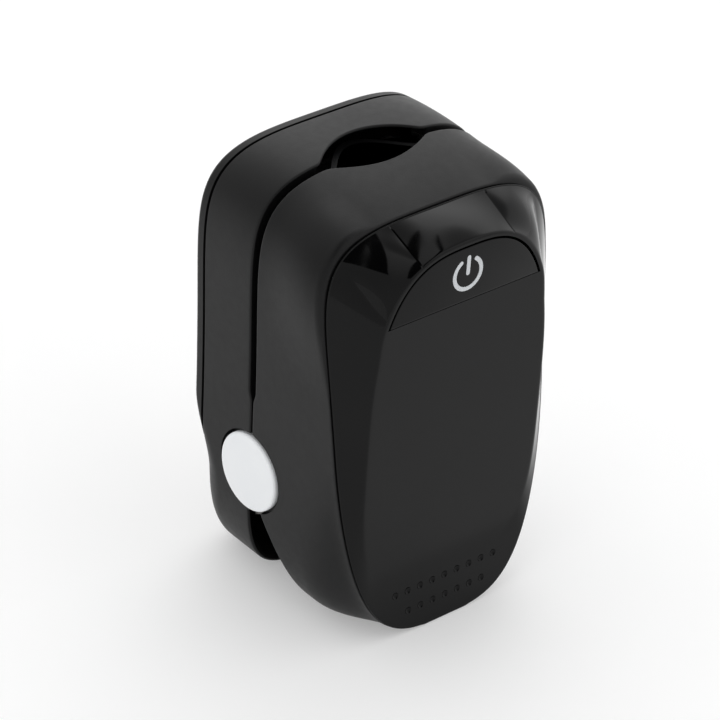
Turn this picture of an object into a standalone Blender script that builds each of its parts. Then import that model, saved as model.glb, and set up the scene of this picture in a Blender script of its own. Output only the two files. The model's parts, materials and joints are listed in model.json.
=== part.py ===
"""Fingertip pulse oximeter, standing on its hinge end with the finger opening at the top.

Frame: +Z up along the body, +X to the right when facing the front cover, +Y towards the battery
cover.  The origin is the bottom centre of the whole object.  Dimensions below are in millimetres
and MM turns them into metres where the meshes are made.
"""

import math

import bmesh
import bpy
from mathutils import Matrix

MM = 0.001

# ---- outline of the body, seen from the front -------------------------------------------------
MID_Z = 29.0                                  # height where the upper and lower curves meet
HALF_WIDTH = (17.36, 1.10, 0.81, -0.16)       # cubic in (z - MID_Z) / MID_Z
TOP_POWERS = (7.10, 3.61)                     # superellipse powers of the upper corners
FRONT_LOW_POWERS = (2.08, 3.32)               # U-shaped lower end of the front seam
BODY_LOW_POWERS = (5.0, 5.0)                  # squarer lower end of the body
OUTLINE_POINTS = 60
FLAT_FOOT = 0.12                              # what lies lower than this is made level
WALL = 1.4

# ---- depths along Y ---------------------------------------------------------------------------
SEAM_MID_Y = -11.6                            # front seam at mid height
SEAM_LEAN = 4.3                              # how far the seam leans back over half the height
PLATEAU_MID_Y = -14.57
PLATEAU_LEAN = 0.42
PARTING_Y = 4.65
BACK_SEAM_Y = 14.75
BACK_Y = 16.5
SEAM_TOP_Z = 58.0
PARTING_TOP_Z = 60.27
BACK_SEAM_TOP_Z = 60.05
GAP = 0.3

# ---- opening, slot and gap between the two halves ---------------------------------------------
MOUTH_HALF_WIDTH = 8.9
MOUTH_FRONT = 3.0
MOUTH_REAR = 4.3
SLOT_WIDTH = 1.0
SLOT_END_Z = 28.1
LOWER_CUT = ((4.5, 17.2), (2.1, 11.6), (-5.9, 0.0))   # rear edge of the front half, (y, z)

# ---- hinge ------------------------------------------------------------------------------------
HINGE_Y = 4.65
HINGE_Z = 17.5
PIN_R = 0.9
PIN_HOLE_R = 1.2
PIN_INNER_X = 13.1
PIN_OUTER_X = 15.95
REAR_LUG_X = (14.4, 15.4)
REAR_LUG_R = 2.4
EAR_X = (13.2, 14.1)
EAR_R = 1.8
CAP_R = 5.47
CAP_X = (16.3, 17.4)
RECESS_R = 5.9
RECESS_X = 16.0
SPRING_X = (-3.5, -0.7)
SPRING_R = 1.8
SPRING_WIRE_R = 0.22
SPRING_TURNS = 4.375
SPRING_ROD_R = 1.2
SPRING_ROD_X = (-4.2, 0.2)

# ---- plateau of the fascia --------------------------------------------------------------------
PLATEAU_HALF_WIDTH = 14.48
PLATEAU_UP = (26.56, 2.91)                     # height above MID_Z, and power
PLATEAU_DOWN = (22.5, 3.61)
BUTTON_LOW_Z = 47.5
BUTTON_THICK = 1.5
FASCIA_LIP = 0.35
FASCIA_THICK = 1.4

# ---- finger channel ---------------------------------------------------------------------------
REAR_FACE_Y = 3.6
REAR_TROUGH = (5.3, 7.6, 1.6)                 # depth, half width, power
FRONT_FACE_Y = 3.3
FRONT_TROUGH = (3.6, 8.6, 0.8)
CHANNEL_Z = (21.0, 58.4)
CRADLE_HALF = 15.4
REAR_CRADLE_STEPS = 22                        # steps across half of the cradle's section
FRONT_CRADLE_STEPS = 20
PAD_Z = (25.0, 57.5)
PAD_THICK = 1.2
PAD_EDGE = 0.35
REAR_PAD_STEPS = 9
FRONT_PAD_STEPS = 10
SENSOR_Z = 37.0
WINDOW_R = 2.0

# ---- cells ------------------------------------------------------------------------------------
CELL_R = 5.15
CELL_LENGTH = 43.7
CELL_X = 9.6
CELL_Y = 9.9
CELL_Z = 9.6
NUB_R = 1.9
NUB_HEIGHT = 0.8
CELL_SPRING_Z = (6.3, 9.0)
CELL_SPRING_R = (3.4, 1.8)
CELL_SPRING_TURNS = 3
CELL_SPRING_WIRE_R = 0.25

# ---- cover ------------------------------------------------------------------------------------
COVER_LOW_Z = 17.1
COVER_INNER_Y = 15.35

# ---- boards and display -----------------------------------------------------------------------
BOARD_Y = (-9.4, -8.6)
BOARD_HALF_X = 11.5
FLEX_X = (0.8, 3.8)
FLEX_THICK = 0.3
FLEX_PATH = (                                 # (y, z) from the main board to the detector board
    (-7.9, 18.0), (-6.8, 9.4), (-4.4, 4.6), (1.0, 3.4),
    (6.6, 6.2), (10.0, 13.0), (10.7, 23.0), (10.7, 31.6),
)
BOARD_Z = (9.0, 52.0)

# Thin curved bodies, which are cut with the MANIFOLD solver.
THIN_BODIES = ("battery_cover", "front_cradle", "rear_cradle", "rear_shell")

COLOURS = {
    "shell_black": ((0.030, 0.030, 0.032), 0.55, 0.0),
    "gloss_black": ((0.010, 0.010, 0.012), 0.12, 0.0),
    "cap_white": ((0.80, 0.82, 0.86), 0.45, 0.0),
    "cradle_grey": ((0.11, 0.11, 0.12), 0.60, 0.0),
    "silicone": ((0.04, 0.04, 0.045), 0.70, 0.0),
    "steel": ((0.62, 0.62, 0.60), 0.30, 1.0),
    "board_green": ((0.02, 0.16, 0.07), 0.50, 0.0),
    "component": ((0.03, 0.03, 0.03), 0.45, 0.0),
    "clear_window": ((0.55, 0.20, 0.18), 0.10, 0.0),
    "display_glass": ((0.02, 0.02, 0.04), 0.08, 0.0),
    "cell_wrap": ((0.10, 0.28, 0.20), 0.40, 0.2),
    "flex_amber": ((0.55, 0.26, 0.05), 0.40, 0.0),
    "contact": ((0.75, 0.62, 0.35), 0.30, 1.0),
}


# ================================================================================================
# Curves
# ================================================================================================
def lerp(a, b, t):
    return a + (b - a) * t


def smooth(t):
    t = min(max(t, 0.0), 1.0)
    return t * t * (3.0 - 2.0 * t)


def half_width(z):
    s = (z - MID_Z) / MID_Z
    a, b, c, d = HALF_WIDTH
    return a + b * s + c * s * s + d * s ** 3


def seam_y(z):
    """The front seam lies in a plane that leans back towards the top."""
    return SEAM_MID_Y + SEAM_LEAN * (z - MID_Z) / MID_Z


def plateau_y(z):
    return PLATEAU_MID_Y + PLATEAU_LEAN * (z - MID_Z) / MID_Z


def arch_z(y):
    """Top of the body at depth y: a parabola through the seam, the parting line and the back."""
    ya, yb, yc = seam_y(SEAM_TOP_Z), PARTING_Y, BACK_SEAM_Y
    za, zb, zc = SEAM_TOP_Z, PARTING_TOP_Z, BACK_SEAM_TOP_Z
    part_a = za * (y - yb) * (y - yc) / ((ya - yb) * (ya - yc))
    part_b = zb * (y - ya) * (y - yc) / ((yb - ya) * (yb - yc))
    part_c = zc * (y - ya) * (y - yb) / ((yc - ya) * (yc - yb))
    return part_a + part_b + part_c


def evenly(points, count):
    """The same open curve as count + 1 points with even steps along it."""
    lengths = [0.0]
    for a, b in zip(points, points[1:]):
        lengths.append(lengths[-1] + math.dist(a, b))
    result = []
    k = 0
    for i in range(count + 1):
        target = lengths[-1] * i / count
        while k < len(points) - 2 and lengths[k + 1] < target:
            k += 1
        t = (target - lengths[k]) / (lengths[k + 1] - lengths[k])
        result.append(tuple(lerp(p, q, t) for p, q in zip(points[k], points[k + 1])))
    return result


def mirrored_loop(half):
    """Closes a half curve, bottom centre to top centre at +X, into a loop."""
    left = [(-x, z) for x, z in reversed(half[1:-1])]
    return half + left


def body_loop(top, low_powers, count=OUTLINE_POINTS):
    """Outline of the body whose highest point is at top, as (x, z) points."""
    steps = 200
    n, m = low_powers
    half = []
    for i in range(steps + 1):
        t = math.pi / 2 * i / steps
        z = MID_Z - MID_Z * math.cos(t) ** (2 / n)
        half.append((half_width(z) * math.sin(t) ** (2 / m), z))
    n, m = TOP_POWERS
    for i in range(1, steps + 1):
        t = math.pi / 2 * (1 - i / steps)
        z = MID_Z + (top - MID_Z) * math.cos(t) ** (2 / n)
        half.append((half_width(z) * abs(math.sin(t)) ** (2 / m), z))
    half = evenly(half, count // 2)
    half[0] = (0.0, half[0][1])
    half[-1] = (0.0, half[-1][1])
    return [(x, 0.0 if z < FLAT_FOOT else z) for x, z in mirrored_loop(half)]


def plateau_point(t, rise, power):
    """Point of the plateau's edge: t is 0 at the side and 1 at the top or bottom."""
    angle = math.pi / 2 * t
    x = PLATEAU_HALF_WIDTH * abs(math.cos(angle)) ** (2 / power)
    return x, MID_Z + rise * math.sin(angle) ** (2 / power)


def plateau_loop(count=OUTLINE_POINTS):
    steps = 200
    rise, power = PLATEAU_DOWN
    half = []
    for i in range(steps + 1):
        x, z = plateau_point(1 - i / steps, rise, power)
        half.append((x, 2 * MID_Z - z))
    rise, power = PLATEAU_UP
    for i in range(1, steps + 1):
        half.append(plateau_point(i / steps, rise, power))
    half = evenly(half, count // 2)
    half[0] = (0.0, half[0][1])
    half[-1] = (0.0, half[-1][1])
    return mirrored_loop(half)


def inset(loop, amount):
    """Moves each side of a loop inwards; amount is a number or a function of (x, z)."""
    result = []
    count = len(loop)
    for i, (x, z) in enumerate(loop):
        sides = []
        for a, b in ((loop[i - 1], (x, z)), ((x, z), loop[(i + 1) % count])):
            size = math.dist(a, b)
            sides.append(((a[1] - b[1]) / size, (b[0] - a[0]) / size))
        nx = sides[0][0] + sides[1][0]
        nz = sides[0][1] + sides[1][1]
        mitre = 2.0 / max(nx * nx + nz * nz, 1.0)
        d = amount(x, z) if callable(amount) else amount
        result.append((x + nx * mitre * d, z + nz * mitre * d))
    return result


def back_radius(z):
    """Rounding of the edge of the back: small on the cover and large on the heel."""
    return 0.7 + 4.8 * smooth((24.0 - z) / 12.0)


def back_inset(y, z):
    r = back_radius(z)
    over = y - (BACK_Y - r)
    if over <= 0.0:
        return 0.0
    return r - math.sqrt(max(r * r - over * over, 0.0))


# ================================================================================================
# Meshes
# ================================================================================================
def material(slot):
    found = bpy.data.materials.get(slot)
    if found:
        return found
    colour, roughness, metallic = COLOURS[slot]
    made = bpy.data.materials.new(slot)
    made.use_nodes = True
    shader = made.node_tree.nodes["Principled BSDF"]
    shader.inputs["Base Color"].default_value = (*colour, 1.0)
    shader.inputs["Roughness"].default_value = roughness
    shader.inputs["Metallic"].default_value = metallic
    return made


def add_object(name, bm, slot=None):
    bmesh.ops.recalc_face_normals(bm, faces=bm.faces)
    if bm.calc_volume(signed=True) < 0.0:
        bmesh.ops.reverse_faces(bm, faces=bm.faces)
    mesh = bpy.data.meshes.new(name)
    bm.to_mesh(mesh)
    bm.free()
    obj = bpy.data.objects.new(name, mesh)
    bpy.context.scene.collection.objects.link(obj)
    if slot:
        mesh.materials.append(material(slot))
        mesh.shade_smooth()
        mesh.set_sharp_from_angle(angle=math.radians(35))
    return obj


def loft(name, rings, slot=None, tube=False):
    """A closed body through rings of (x, y, z) points: capped at both ends, or a closed tube."""
    bm = bmesh.new()
    rows = [[bm.verts.new([c * MM for c in point]) for point in ring] for ring in rings]
    count = len(rings[0])
    pairs = list(zip(rows, rows[1:]))
    if tube:
        pairs.append((rows[-1], rows[0]))
    for a, b in pairs:
        for i in range(count):
            j = (i + 1) % count
            bm.faces.new((a[i], a[j], b[j], b[i]))
    if not tube:
        bm.faces.new(rows[0])
        bm.faces.new(rows[-1])
    bmesh.ops.triangulate(bm, faces=bm.faces)
    return add_object(name, bm, slot)


def prism(name, polygon, axis, low, high, slot=None):
    """A polygon in the plane across axis, extruded from low to high along it."""
    place = {
        "X": lambda p, h: (h, p[0], p[1]),
        "Y": lambda p, h: (p[0], h, p[1]),
        "Z": lambda p, h: (p[0], p[1], h),
    }[axis]
    rings = [[place(p, h) for p in polygon] for h in (low, high)]
    return loft(name, rings, slot)


def box(name, x, y, z, slot=None):
    return prism(name, [(x[0], y[0]), (x[1], y[0]), (x[1], y[1]), (x[0], y[1])], "Z", z[0], z[1], slot)


def circle(centre, radius, sides, turn=0.5):
    points = []
    for i in range(sides):
        angle = 2 * math.pi * (i + turn) / sides
        points.append((centre[0] + radius * math.cos(angle), centre[1] + radius * math.sin(angle)))
    return points


def cylinder(name, axis, centre, radius, low, high, slot=None, sides=24):
    return prism(name, circle(centre, radius, sides), axis, low, high, slot)


def turned(name, profile, centre, slot, sides=24):
    """A profile of (radius, z) points from bottom to top, turned about an upright axis."""
    rings = []
    for radius, z in profile:
        rings.append([(x, y, z) for x, y in circle(centre, radius, sides)])
    return loft(name, rings, slot)


def wire(name, path, radius, slot, sides=6):
    """A round wire with closed ends along a list of (x, y, z) points."""
    rings = []
    last = None
    for i, point in enumerate(path):
        before = path[max(i - 1, 0)]
        after = path[min(i + 1, len(path) - 1)]
        along = [b - a for a, b in zip(before, after)]
        size = math.sqrt(sum(c * c for c in along))
        along = [c / size for c in along]
        if last is None:
            last = (0.0, 0.0, 1.0) if abs(along[2]) < 0.9 else (0.0, 1.0, 0.0)
        dot = sum(a * b for a, b in zip(last, along))
        side = [a - dot * b for a, b in zip(last, along)]
        size = math.sqrt(sum(c * c for c in side))
        side = [c / size for c in side]
        last = side
        other = (
            along[1] * side[2] - along[2] * side[1],
            along[2] * side[0] - along[0] * side[2],
            along[0] * side[1] - along[1] * side[0],
        )
        ring = []
        for cosine, sine in circle((0.0, 0.0), radius, sides):
            ring.append([p + cosine * a + sine * b for p, a, b in zip(point, side, other)])
        rings.append(ring)
    return loft(name, rings, slot)


def combine(obj, tool, operation):
    """Adds a Boolean of the tool, which is then only a guide."""
    tool.hide_render = True
    tool.display_type = "WIRE"
    modifier = obj.modifiers.new(tool.name, "BOOLEAN")
    modifier.operation = operation
    modifier.solver = "MANIFOLD" if obj.name in THIN_BODIES else "EXACT"
    modifier.object = tool


def cut(obj, *tools):
    for tool in tools:
        combine(obj, tool, "DIFFERENCE")


def join(obj, *tools):
    for tool in tools:
        combine(obj, tool, "UNION")


def clip(obj, tool):
    combine(obj, tool, "INTERSECT")


def both_sides(x_range, side):
    """An X range given on the right, moved to the side: +1 right, -1 left."""
    return tuple(sorted((x_range[0] * side, x_range[1] * side)))


# ================================================================================================
# Casings
# ================================================================================================
def front_ring(b, amount):
    """Ring of the front half: b is 0 at the leaning seam and 1 at the parting plane."""
    end_y = PARTING_Y - GAP / 2
    top = arch_z(lerp(seam_y(SEAM_TOP_Z), end_y, b))
    blend = smooth(b / 0.45)
    powers = [lerp(a, c, blend) for a, c in zip(FRONT_LOW_POWERS, BODY_LOW_POWERS)]
    loop = inset(body_loop(top, powers), amount)
    return [(x, lerp(seam_y(z), end_y, b), z) for x, z in loop]


def rear_ring(y, amount):
    loop = body_loop(arch_z(y), BODY_LOW_POWERS)
    loop = inset(loop, lambda x, z: amount + back_inset(y, z))
    return [(x, y, z) for x, z in loop]


def mouth_tool(name):
    """The eye-shaped finger opening, deeper into the rear half than into the front half."""
    steps = 12
    points = []
    for i in range(steps):
        x = MOUTH_HALF_WIDTH * (1 - 2 * i / steps)
        points.append((x, PARTING_Y + MOUTH_REAR * (1 - (x / MOUTH_HALF_WIDTH) ** 2)))
    for i in range(steps):
        x = -MOUTH_HALF_WIDTH * (1 - 2 * i / steps)
        points.append((x, PARTING_Y - MOUTH_FRONT * (1 - (x / MOUTH_HALF_WIDTH) ** 2)))
    return prism(name, points, "Z", 56.0, 64.0)


def recess_tools(prefix):
    """Round recess for each hinge cap, and the hole for its pin."""
    tools = []
    for side, word in ((-1, "left"), (1, "right")):
        low, high = both_sides((RECESS_X, 22.0), side)
        centre = (HINGE_Y, HINGE_Z)
        tools.append(cylinder(f"{prefix}_recess_{word}", "X", centre, RECESS_R, low, high, sides=32))
        low, high = both_sides((PIN_INNER_X, 18.0), side)
        tools.append(cylinder(f"{prefix}_pin_hole_{word}", "X", centre, PIN_HOLE_R, low, high, sides=16))
    return tools


def front_bosses():
    return [(side * x, z) for x, z in ((14.4, 51.5), (13.9, 27.5)) for side in (-1, 1)]


def rear_bosses():
    return [(side * 12.2, 55.8) for side in (-1, 1)]


def screw_holes(prefix, places, face_y, sense):
    """Stepped holes from a cradle's finger side: a seat for the head, then the shank."""
    tools = []
    for i, (x, z) in enumerate(places):
        ends = sorted((face_y - 2.0 * sense, face_y + 0.5 * sense))
        tools.append(cylinder(f"{prefix}_head_seat_{i}", "Y", (x, z), 1.8, ends[0], ends[1], sides=12))
        ends = sorted((face_y - 2.0 * sense, face_y + 4.0 * sense))
        tools.append(cylinder(f"{prefix}_shank_hole_{i}", "Y", (x, z), 1.1, ends[0], ends[1], sides=12))
    return tools


def front_shell():
    steps = (0.0, 0.12, 0.24, 0.36, 0.5, 0.75, 1.0)
    rings = [front_ring(b, 0.0) for b in steps]
    rings += [front_ring(b, WALL) for b in (1.0, 0.5, 0.24, 0.0)]
    shell = loft("front_shell", rings, "shell_black", tube=True)
    for i, (x, z) in enumerate(front_bosses()):
        join(shell, cylinder(f"front_boss_{i}", "Y", (x, z), 2.9, -6.0, 1.8, sides=16))
        cut(shell, cylinder(f"front_boss_hole_{i}", "Y", (x, z), 1.1, -5.0, 3.0, sides=12))
    points = list(LOWER_CUT) + [(-6.6, -1.0), (10.0, -1.0), (10.0, LOWER_CUT[0][1])]
    cut(shell, prism("front_lower_cut", points, "X", -20.0, 20.0))
    slot_y = PARTING_Y - SLOT_WIDTH / 2
    cut(shell, box("front_slot", (-21.0, 21.0), (slot_y, 6.0), (SLOT_END_Z, 64.0)))
    cut(shell, mouth_tool("front_mouth"))
    cut(shell, *recess_tools("front"))
    return shell


def rear_shell():
    start = PARTING_Y + GAP / 2
    rings = [rear_ring(y, 0.0) for y in (start, 8.5, 10.8, 12.3, 13.6, 14.8, 15.6, 16.0, BACK_Y)]
    shell = loft("rear_shell", rings, "shell_black")
    hollow = [rear_ring(y, WALL) for y in (3.5, 9.5, 12.0, 13.6, 14.6, COVER_INNER_Y)]
    cut(shell, loft("rear_hollow", hollow))
    front_of_cover = BACK_SEAM_Y - GAP / 2
    cut(shell, box("cover_seat", (-21.0, 21.0), (front_of_cover, 20.0), (COVER_LOW_Z - GAP / 2, 64.0)))
    for i, (x, z) in enumerate(rear_bosses()):
        join(shell, cylinder(f"rear_boss_{i}", "Y", (x, z), 1.6, 5.2, 13.6, sides=16))
        join(shell, box(f"rear_boss_web_{i}", (x - 0.8, x + 0.8), (6.0, 13.4), (z + 1.25, z + 3.4)))
        cut(shell, cylinder(f"rear_boss_hole_{i}", "Y", (x, z), 1.1, 4.0, 12.0, sides=12))
    slot_y = PARTING_Y + SLOT_WIDTH / 2
    cut(shell, box("rear_slot", (-21.0, 21.0), (3.0, slot_y), (SLOT_END_Z, 64.0)))
    cut(shell, mouth_tool("rear_mouth"))
    for side, word in ((-1, "left"), (1, "right")):
        low, high = both_sides(REAR_LUG_X, side)
        join(shell, cylinder(f"lug_{word}", "X", (HINGE_Y, HINGE_Z), REAR_LUG_R, low, high))
        join(shell, box(f"lug_web_{word}", both_sides((14.9, 16.0), side), (5.1, 6.9), (15.9, 19.1)))
    cut(shell, *recess_tools("rear"))
    return shell


def battery_cover():
    start = BACK_SEAM_Y + GAP / 2
    rings = [rear_ring(y, 0.0) for y in (start, 15.2, 15.6, 16.0, BACK_Y)]
    cover = loft("battery_cover", rings, "shell_black")
    cut(cover, box("cover_end", (-21.0, 21.0), (10.0, 20.0), (-2.0, COVER_LOW_Z + GAP / 2)))
    hollow = []
    for y in (start - 1.0, COVER_INNER_Y):
        hollow.append([(x, y, z) for x, _, z in rear_ring(start, WALL + 0.6)])
    cut(cover, loft("cover_hollow", hollow))
    return cover


def fascia():
    low = body_loop(SEAM_TOP_Z, FRONT_LOW_POWERS)

    def seam_ring(amount, forward):
        return [(x, seam_y(z) - forward, z) for x, z in inset(low, amount)]

    top = plateau_loop()
    plateau = [(x, min(plateau_y(z), seam_y(z) - FASCIA_LIP), z) for x, z in top]
    rings = [
        seam_ring(WALL + GAP, -1.2),
        seam_ring(WALL + GAP, GAP / 2),
        seam_ring(0.0, GAP / 2),
        seam_ring(0.0, FASCIA_LIP - 0.1),
        seam_ring(0.3, FASCIA_LIP + 0.05),
        plateau,
    ]
    body = loft("fascia", rings, "gloss_black")
    inner = [
        seam_ring(WALL + GAP + 1.2, -3.0),
        seam_ring(WALL + GAP + 1.2, -0.6),
        [(x, plateau_y(z) + FASCIA_THICK, z) for x, z in inset(top, 1.6)],
    ]
    cut(body, loft("fascia_hollow", inner))
    cut(body, prism("button_opening", button_outline(0.0), "Y", -18.0, -8.0))
    return body


def button_outline(amount):
    """D-shaped part of the plateau above the button's straight lower edge."""
    rise, power = PLATEAU_UP
    corner = PLATEAU_HALF_WIDTH * (1 - ((BUTTON_LOW_Z - MID_Z) / rise) ** power) ** (1 / power)
    arc = [(x, z) for x, z in plateau_loop(96) if z > BUTTON_LOW_Z + 0.3]
    outline = [(corner, BUTTON_LOW_Z)] + arc + [(-corner, BUTTON_LOW_Z)]
    return inset(outline, amount)


# ================================================================================================
# Hinge
# ================================================================================================
def hinge_parts():
    parts = []
    centre = (HINGE_Y, HINGE_Z)
    for side, word in ((-1, "left"), (1, "right")):
        low, high = both_sides((PIN_INNER_X, PIN_OUTER_X), side)
        parts.append(cylinder(f"hinge_pin_{word}", "X", centre, PIN_R, low, high, "steel", sides=20))
        inner, outer = CAP_X
        rings = []
        for x, radius in ((inner, CAP_R - 0.1), (outer - 0.3, CAP_R), (outer, CAP_R - 0.3)):
            rings.append([(side * x, y, z) for y, z in circle(centre, radius, 40)])
        parts.append(loft(f"hinge_cap_{word}", rings, "cap_white"))
    return parts


def torsion_spring():
    """Coil about the hinge axis whose legs press the two cradles together."""
    steps = 64
    front_x, rear_x = SPRING_X
    path = [(front_x, -1.5, 24.0), (front_x, -1.4, 22.4)]
    for i in range(steps + 1):
        angle = math.pi + 2 * math.pi * SPRING_TURNS * i / steps
        x = lerp(front_x, rear_x, i / steps)
        path.append((x, HINGE_Y + SPRING_R * math.cos(angle), HINGE_Z + SPRING_R * math.sin(angle)))
    path += [(rear_x, 9.4, 19.4), (rear_x, 10.5, 21.2), (rear_x, 10.5, 24.0)]
    return wire("torsion_spring", path, SPRING_WIRE_R, "steel")


def spring_rod():
    low, high = SPRING_ROD_X
    return cylinder("spring_rod", "X", (HINGE_Y, HINGE_Z), SPRING_ROD_R, low, high, "steel", sides=16)


# ================================================================================================
# Finger channel
# ================================================================================================
def rear_surface(x):
    depth, half, power = REAR_TROUGH
    if abs(x) >= half:
        return REAR_FACE_Y
    return REAR_FACE_Y + depth * (1 - (x / half) ** 2) ** power


def front_surface(x):
    depth, half, power = FRONT_TROUGH
    if abs(x) >= half:
        return FRONT_FACE_Y
    return FRONT_FACE_Y - depth * (1 - (x / half) ** 2) ** power


def across(steps, cradle_steps):
    """X values from side to side at the same spacing for a cradle and the pad lying in it."""
    return [CRADLE_HALF * i / cradle_steps for i in range(-steps, steps + 1)]


def rear_back(x):
    """Back of the rear cradle, which keeps clear of the cells."""
    y = rear_surface(x) + 1.0
    aside = abs(x) - CELL_X
    reach = CELL_R + GAP
    if abs(aside) < reach:
        y = min(y, CELL_Y - math.sqrt(reach * reach - aside * aside))
    return y


def sensor_hole(name, half, low, high):
    return box(name, (-half, half), (low, high), (SENSOR_Z - half, SENSOR_Z + half))


def rear_cradle():
    xs = across(REAR_CRADLE_STEPS, REAR_CRADLE_STEPS)
    section = [(x, rear_surface(x)) for x in xs] + [(x, rear_back(x)) for x in reversed(xs)]
    cradle = prism("rear_cradle", section, "Z", 8.0, CHANNEL_Z[1], "cradle_grey")
    cut(cradle, box("spring_bay", (-4.5, 4.5), (0.0, 12.0), (0.0, CHANNEL_Z[0])))
    for side, word in ((-1, "left"), (1, "right")):
        cut(cradle, box(f"pin_bay_{word}", both_sides((12.8, 18.0), side), (0.0, 12.0), (0.0, 21.5)))
    cut(cradle, sensor_hole("detector_hole", 2.4, 0.0, 12.0))
    cut(cradle, *screw_holes("rear", rear_bosses(), REAR_FACE_Y, 1))
    clip(cradle, loft("rear_cradle_fit", [rear_ring(y, WALL + GAP) for y in (2.6, 6.0, 12.6)]))
    return cradle


def front_cradle():
    xs = across(FRONT_CRADLE_STEPS, FRONT_CRADLE_STEPS)
    near = [(x, front_surface(x)) for x in xs]
    far = [(x, front_surface(x) - 1.1) for x in reversed(xs)]
    cradle = prism("front_cradle", near + far, "Z", CHANNEL_Z[0], CHANNEL_Z[1], "cradle_grey")
    guard = [(2.7, 22.0), (1.8, 17.0), (0.2, 11.6), (-6.4, 2.0)]
    guard += [(-7.6, 2.0), (-1.0, 11.8), (0.6, 17.0), (1.4, 22.0)]
    join(cradle, prism("guard", guard, "X", -13.0, 13.0))
    for side, word in ((-1, "left"), (1, "right")):
        low, high = both_sides(EAR_X, side)
        ear = []
        for degrees in range(-90, 91, 15):
            angle = math.radians(degrees)
            ear.append((HINGE_Y + EAR_R * math.cos(angle), HINGE_Z + EAR_R * math.sin(angle)))
        ear += [(2.6, 23.1), (-0.5, 23.1), (-0.5, 16.0)]
        join(cradle, prism(f"ear_{word}", ear, "X", low, high))
        join(cradle, box(f"ear_web_{word}", both_sides((12.6, 14.0), side), (-0.3, 1.5), (16.6, 22.6)))
        hole = cylinder(f"ear_hole_{word}", "X", (HINGE_Y, HINGE_Z), PIN_HOLE_R, low - 1, high + 1, sides=16)
        cut(cradle, hole)
    cut(cradle, box("spring_notch", (-4.1, -2.9), (-3.0, 5.0), (14.0, 22.2)))
    cut(cradle, box("flex_notch", (0.2, 4.4), (-9.0, 4.0), (1.0, 10.5)))
    cut(cradle, sensor_hole("emitter_hole", 2.4, -8.0, 8.0))
    cut(cradle, *screw_holes("front", front_bosses(), FRONT_FACE_Y, -1))
    clip(cradle, loft("front_cradle_fit", [front_ring(b, WALL + GAP) for b in (0.0, 0.24, 0.5, 1.0)]))
    return cradle


def pad(name, xs, surface, towards, hole):
    """Soft pad lying in a trough; towards is the sense of Y from the trough to the finger."""
    near = []
    far = []
    for x in xs:
        thick = PAD_EDGE + (PAD_THICK - PAD_EDGE) * (1 - (x / xs[-1]) ** 4)
        near.append((x, surface(x) + towards * GAP))
        far.append((x, surface(x) + towards * (GAP + thick)))
    made = prism(name, near + far[::-1], "Z", PAD_Z[0], PAD_Z[1], "silicone")
    cut(made, hole)
    return made


def sensor_parts():
    """Emitter in the front half and detector in the rear half, facing each other."""
    parts = []
    board_x = (-3.6, 3.6)
    board_z = (SENSOR_Z - 5.0, SENSOR_Z + 5.0)
    die_x = (-1.9, 1.9)
    die_z = (SENSOR_Z - 1.9, SENSOR_Z + 1.9)
    centre = (0.0, SENSOR_Z)
    parts.append(box("detector_board", board_x, (10.3, 11.1), board_z, "board_green"))
    parts.append(box("photodiode", die_x, (9.1, 10.0), die_z, "component"))
    parts.append(cylinder("detector_window", "Y", centre, WINDOW_R, 7.6, 8.8, "clear_window"))
    parts.append(box("emitter_board", board_x, (-3.6, -2.8), board_z, "board_green"))
    parts.append(box("light_emitter", die_x, (-2.5, -0.6), die_z, "component"))
    parts.append(cylinder("emitter_window", "Y", centre, WINDOW_R, -0.3, 0.9, "clear_window"))
    return parts


# ================================================================================================
# Cells and contacts
# ================================================================================================
def cells():
    parts = []
    top = CELL_Z + CELL_LENGTH
    profile = (
        (CELL_R - 0.4, CELL_Z),
        (CELL_R, CELL_Z + 0.4),
        (CELL_R, top - 0.4),
        (CELL_R - 0.4, top),
        (NUB_R, top),
        (NUB_R, top + NUB_HEIGHT),
    )
    for side, word in ((-1, "left"), (1, "right")):
        centre = (side * CELL_X, CELL_Y)
        parts.append(turned(f"battery_{word}", profile, centre, "cell_wrap"))
        path = []
        steps = 12 * CELL_SPRING_TURNS
        for i in range(steps + 1):
            t = i / steps
            radius = lerp(*CELL_SPRING_R, t)
            angle = 2 * math.pi * CELL_SPRING_TURNS * t
            x = centre[0] + radius * math.cos(angle)
            y = centre[1] + radius * math.sin(angle)
            path.append((x, y, lerp(*CELL_SPRING_Z, t)))
        parts.append(wire(f"battery_spring_{word}", path, CELL_SPRING_WIRE_R, "contact"))
    parts.append(box("contact_bridge", (-10.0, 10.0), (10.3, 12.6), (54.4, 54.8), "contact"))
    return parts


# ================================================================================================
# Boards, display and button
# ================================================================================================
def board_parts():
    parts = []
    parts.append(box("main_board", (-BOARD_HALF_X, BOARD_HALF_X), BOARD_Y, BOARD_Z, "board_green"))
    parts.append(box("display_module", (-9.5, 9.5), (-12.8, -9.7), (13.0, 45.5), "display_glass"))
    parts.append(box("tact_switch", (-3.0, 3.0), (-11.6, -9.7), (48.6, 52.6), "component"))
    parts.append(cylinder("buzzer", "Y", (8.6, 16.5), 4.2, -8.3, -6.2, "component"))
    parts.append(box("processor_chip", (-9.0, -2.0), (-8.3, -7.3), (38.0, 45.0), "component"))
    return parts


def power_button():
    outline = button_outline(GAP)
    rings = []
    for amount, back in ((0.0, BUTTON_THICK), (0.0, 0.2), (0.2, 0.0)):
        loop = inset(outline, amount) if amount else outline
        rings.append([(x, plateau_y(z) + back, z) for x, z in loop])
    button = loft("power_button", rings, "gloss_black")
    plunger = cylinder("button_plunger", "Y", (0.0, 50.6), 1.3, -12.65, -12.05, "component", sides=16)
    return [button, plunger]


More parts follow.
